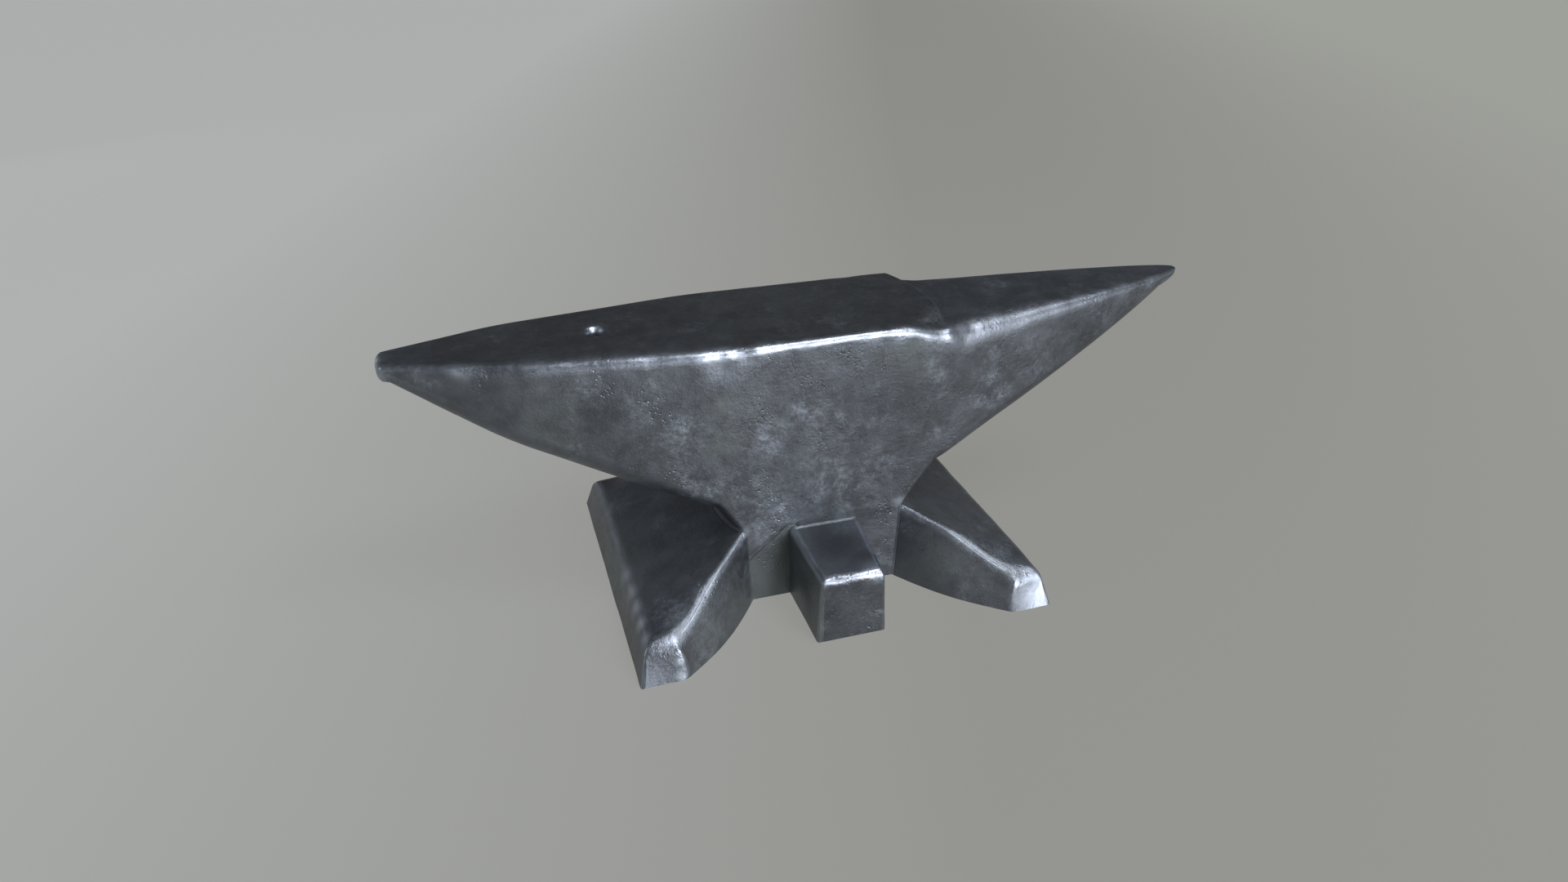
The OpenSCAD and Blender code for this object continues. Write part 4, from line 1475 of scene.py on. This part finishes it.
# Half the floor's width, the direction across it, and the stretches over which its colour
# changes along that direction
FLOOR_REACH, FLOOR_ACROSS, FLOOR_NEAR, FLOOR_FAR = 12.0, (0.935, 0.355), (-1.0, 0.15), (0.3, 2.1)
LAMP_TINT = (0.90, 0.94, 1.0)
# Lamps: name, which power it takes, place, aim and size
LAMPS = (
    ("key_lamp", "key_power", (0.85, -1.95, 0.50), (0.05, 0, 0.12), (1.0, 0.9)),
    ("top_lamp", "top_power", (0.60, -0.80, 1.85), (0, 0, 0.2), (0.9, 0.6)),
    ("edge_lamp", "edge_power", (0.75, -1.80, 1.40), (0, 0, 0.2), (0.8, 0.6)),
    ("rim_lamp", "rim_power", (-1.35, 1.80, 0.42), (-0.1, 0, 0.1), (1.2, 0.5)),
    ("fill_lamp", "fill_power", (-2.3, -0.5, 0.9), (0, 0, 0.1), (1.2, 1.2)),
)


def put_camera(setting):
    """The camera, set up as the scene's own."""
    scene = bpy.context.scene
    data = bpy.data.cameras.new("camera")
    data.lens, data.sensor_width = setting.lens, SENSOR
    data.clip_end = CAMERA_FAR
    camera = bpy.data.objects.new("camera", data)
    camera.location = CAMERA_PLACE
    camera.rotation_euler = np.radians(CAMERA_TURN)
    scene.collection.objects.link(camera)
    scene.camera = camera


def floor_paint(setting):
    """The floor's material: three tones from left to right. Most of what the camera sees of it
    is its own colour, free of shade, and the rest takes light and shadow."""
    n = Nodes("floor_paint")
    split = n.new("ShaderNodeSeparateXYZ")
    n.put(n.place, split.inputs[0])
    along_x = n.math("MULTIPLY", split.outputs["X"], FLOOR_ACROSS[0])
    along_y = n.math("MULTIPLY", split.outputs["Y"], FLOOR_ACROSS[1])
    across = n.math("SUBTRACT", along_x, along_y)
    left, right = tuple(setting.floor_left), tuple(setting.floor_right)
    tone = n.blend(n.span(across, *FLOOR_NEAR, smooth=False), left, right)
    tone = n.blend(n.span(across, *FLOOR_FAR), tone, tuple(setting.floor_far))
    n.put(tone, n.shader.inputs["Base Color"])
    n.shader.inputs["Roughness"].default_value = 0.9
    n.shader.inputs["Specular IOR Level"].default_value = 0.0
    glow = n.new("ShaderNodeEmission")
    n.put(tone, glow.inputs["Color"])
    seen = n.new("ShaderNodeLightPath")
    direct = n.math("MAXIMUM", seen.outputs["Is Camera Ray"], seen.outputs["Is Glossy Ray"])
    direct = n.math("MAXIMUM", direct, seen.outputs["Is Transmission Ray"])
    both = n.new("ShaderNodeMixShader")
    n.put(n.math("MULTIPLY", direct, setting.floor_glow), both.inputs[0])
    n.put(n.shader.outputs[0], both.inputs[1])
    n.put(glow.outputs[0], both.inputs[2])
    n.put(both.outputs[0], n.tree.nodes["Material Output"].inputs[0])
    return n.material


def lay_floor(setting):
    """A flat square floor under the anvil."""
    mesh = bpy.data.meshes.new("floor")
    corners = [(x * FLOOR_REACH, y * FLOOR_REACH, 0) for x, y in ((-1, -1), (1, -1), (1, 1), (-1, 1))]
    mesh.from_pydata(corners, [], [(0, 1, 2, 3)])
    floor = bpy.data.objects.new("floor", mesh)
    bpy.context.scene.collection.objects.link(floor)
    mesh.materials.append(floor_paint(setting))
    return floor


def lamp(name, place, aim, size, power):
    """A rectangular lamp turned towards what it lights, itself unseen."""
    data = bpy.data.lights.new(name, "AREA")
    data.shape, data.size, data.size_y = "RECTANGLE", size[0], size[1]
    data.energy, data.color = power, LAMP_TINT
    light = bpy.data.objects.new(name, data)
    light.location = place
    light.visible_camera = False
    light.rotation_euler = (Vector(aim) - Vector(place)).to_track_quat("-Z", "Y").to_euler()
    bpy.context.scene.collection.objects.link(light)
    return light


def light_world(setting):
    """A dim light from all round; past the floor's end the camera sees the floor's colour."""
    world = bpy.data.worlds.new("studio")
    world.use_nodes = True
    bpy.context.scene.world = world
    tree = world.node_tree
    back = tree.nodes["Background"]
    back.inputs["Color"].default_value = (*setting.world_tone, 1)
    back.inputs["Strength"].default_value = setting.world_power
    pale = tree.nodes.new("ShaderNodeBackground")
    pale.inputs["Color"].default_value = (*setting.floor_right, 1)
    path = tree.nodes.new("ShaderNodeLightPath")
    both = tree.nodes.new("ShaderNodeMixShader")
    tree.links.new(path.outputs["Is Camera Ray"], both.inputs[0])
    tree.links.new(back.outputs[0], both.inputs[1])
    tree.links.new(pale.outputs[0], both.inputs[2])
    tree.links.new(both.outputs[0], tree.nodes["World Output"].inputs[0])


class ANVIL_OT_stage(bpy.types.Operator):
    """Sets the camera, the pale floor, the lamps and the world"""

    bl_idname = "anvil.stage"
    bl_label = "Stage"

    def execute(self, context):
        setting = context.scene.anvil_stage
        put_camera(setting)
        floor = lay_floor(setting)
        lamps = [
            lamp(name, place, aim, size, getattr(setting, power))
            for name, power, place, aim, size in LAMPS
        ]
        light_world(setting)
        context.scene.view_settings.view_transform = "Standard"
        return {"FINISHED"}


class ANVIL_PT_panel(bpy.types.Panel):
    """Lists the anvil's sizes, finishes and building steps."""

    bl_idname = "ANVIL_PT_panel"
    bl_label = "Double-horn anvil"
    bl_space_type = "VIEW_3D"
    bl_region_type = "UI"
    bl_category = "Anvil"

    def draw(self, context):
        for operator in OPERATORS:
            self.layout.operator(operator.bl_idname)
        for group in (context.scene.anvil_sizes, context.scene.anvil_finish, context.scene.anvil_stage):
            box = self.layout.box()
            for key in group.__annotations__:
                box.prop(group, key)


OPERATORS = (
    ANVIL_OT_faces,
    ANVIL_OT_body,
    ANVIL_OT_round_horn,
    ANVIL_OT_flat_horn,
    ANVIL_OT_base,
    ANVIL_OT_block,
    ANVIL_OT_stage,
)
GROUPS = {"anvil_sizes": AnvilSizes, "anvil_finish": AnvilFinish, "anvil_stage": AnvilStage}


def register():
    for kind in (*GROUPS.values(), *OPERATORS, ANVIL_PT_panel):
        bpy.utils.register_class(kind)
    for name, group in GROUPS.items():
        setattr(bpy.types.Scene, name, bpy.props.PointerProperty(type=group))


def unregister():
    for name in GROUPS:
        delattr(bpy.types.Scene, name)
    for kind in (ANVIL_PT_panel, *reversed(OPERATORS), *GROUPS.values()):
        bpy.utils.unregister_class(kind)


def main():
    register()
    for operator in OPERATORS:
        group, name = operator.bl_idname.split(".")
        getattr(getattr(bpy.ops, group), name)()


if __name__ == "__main__":
    main()
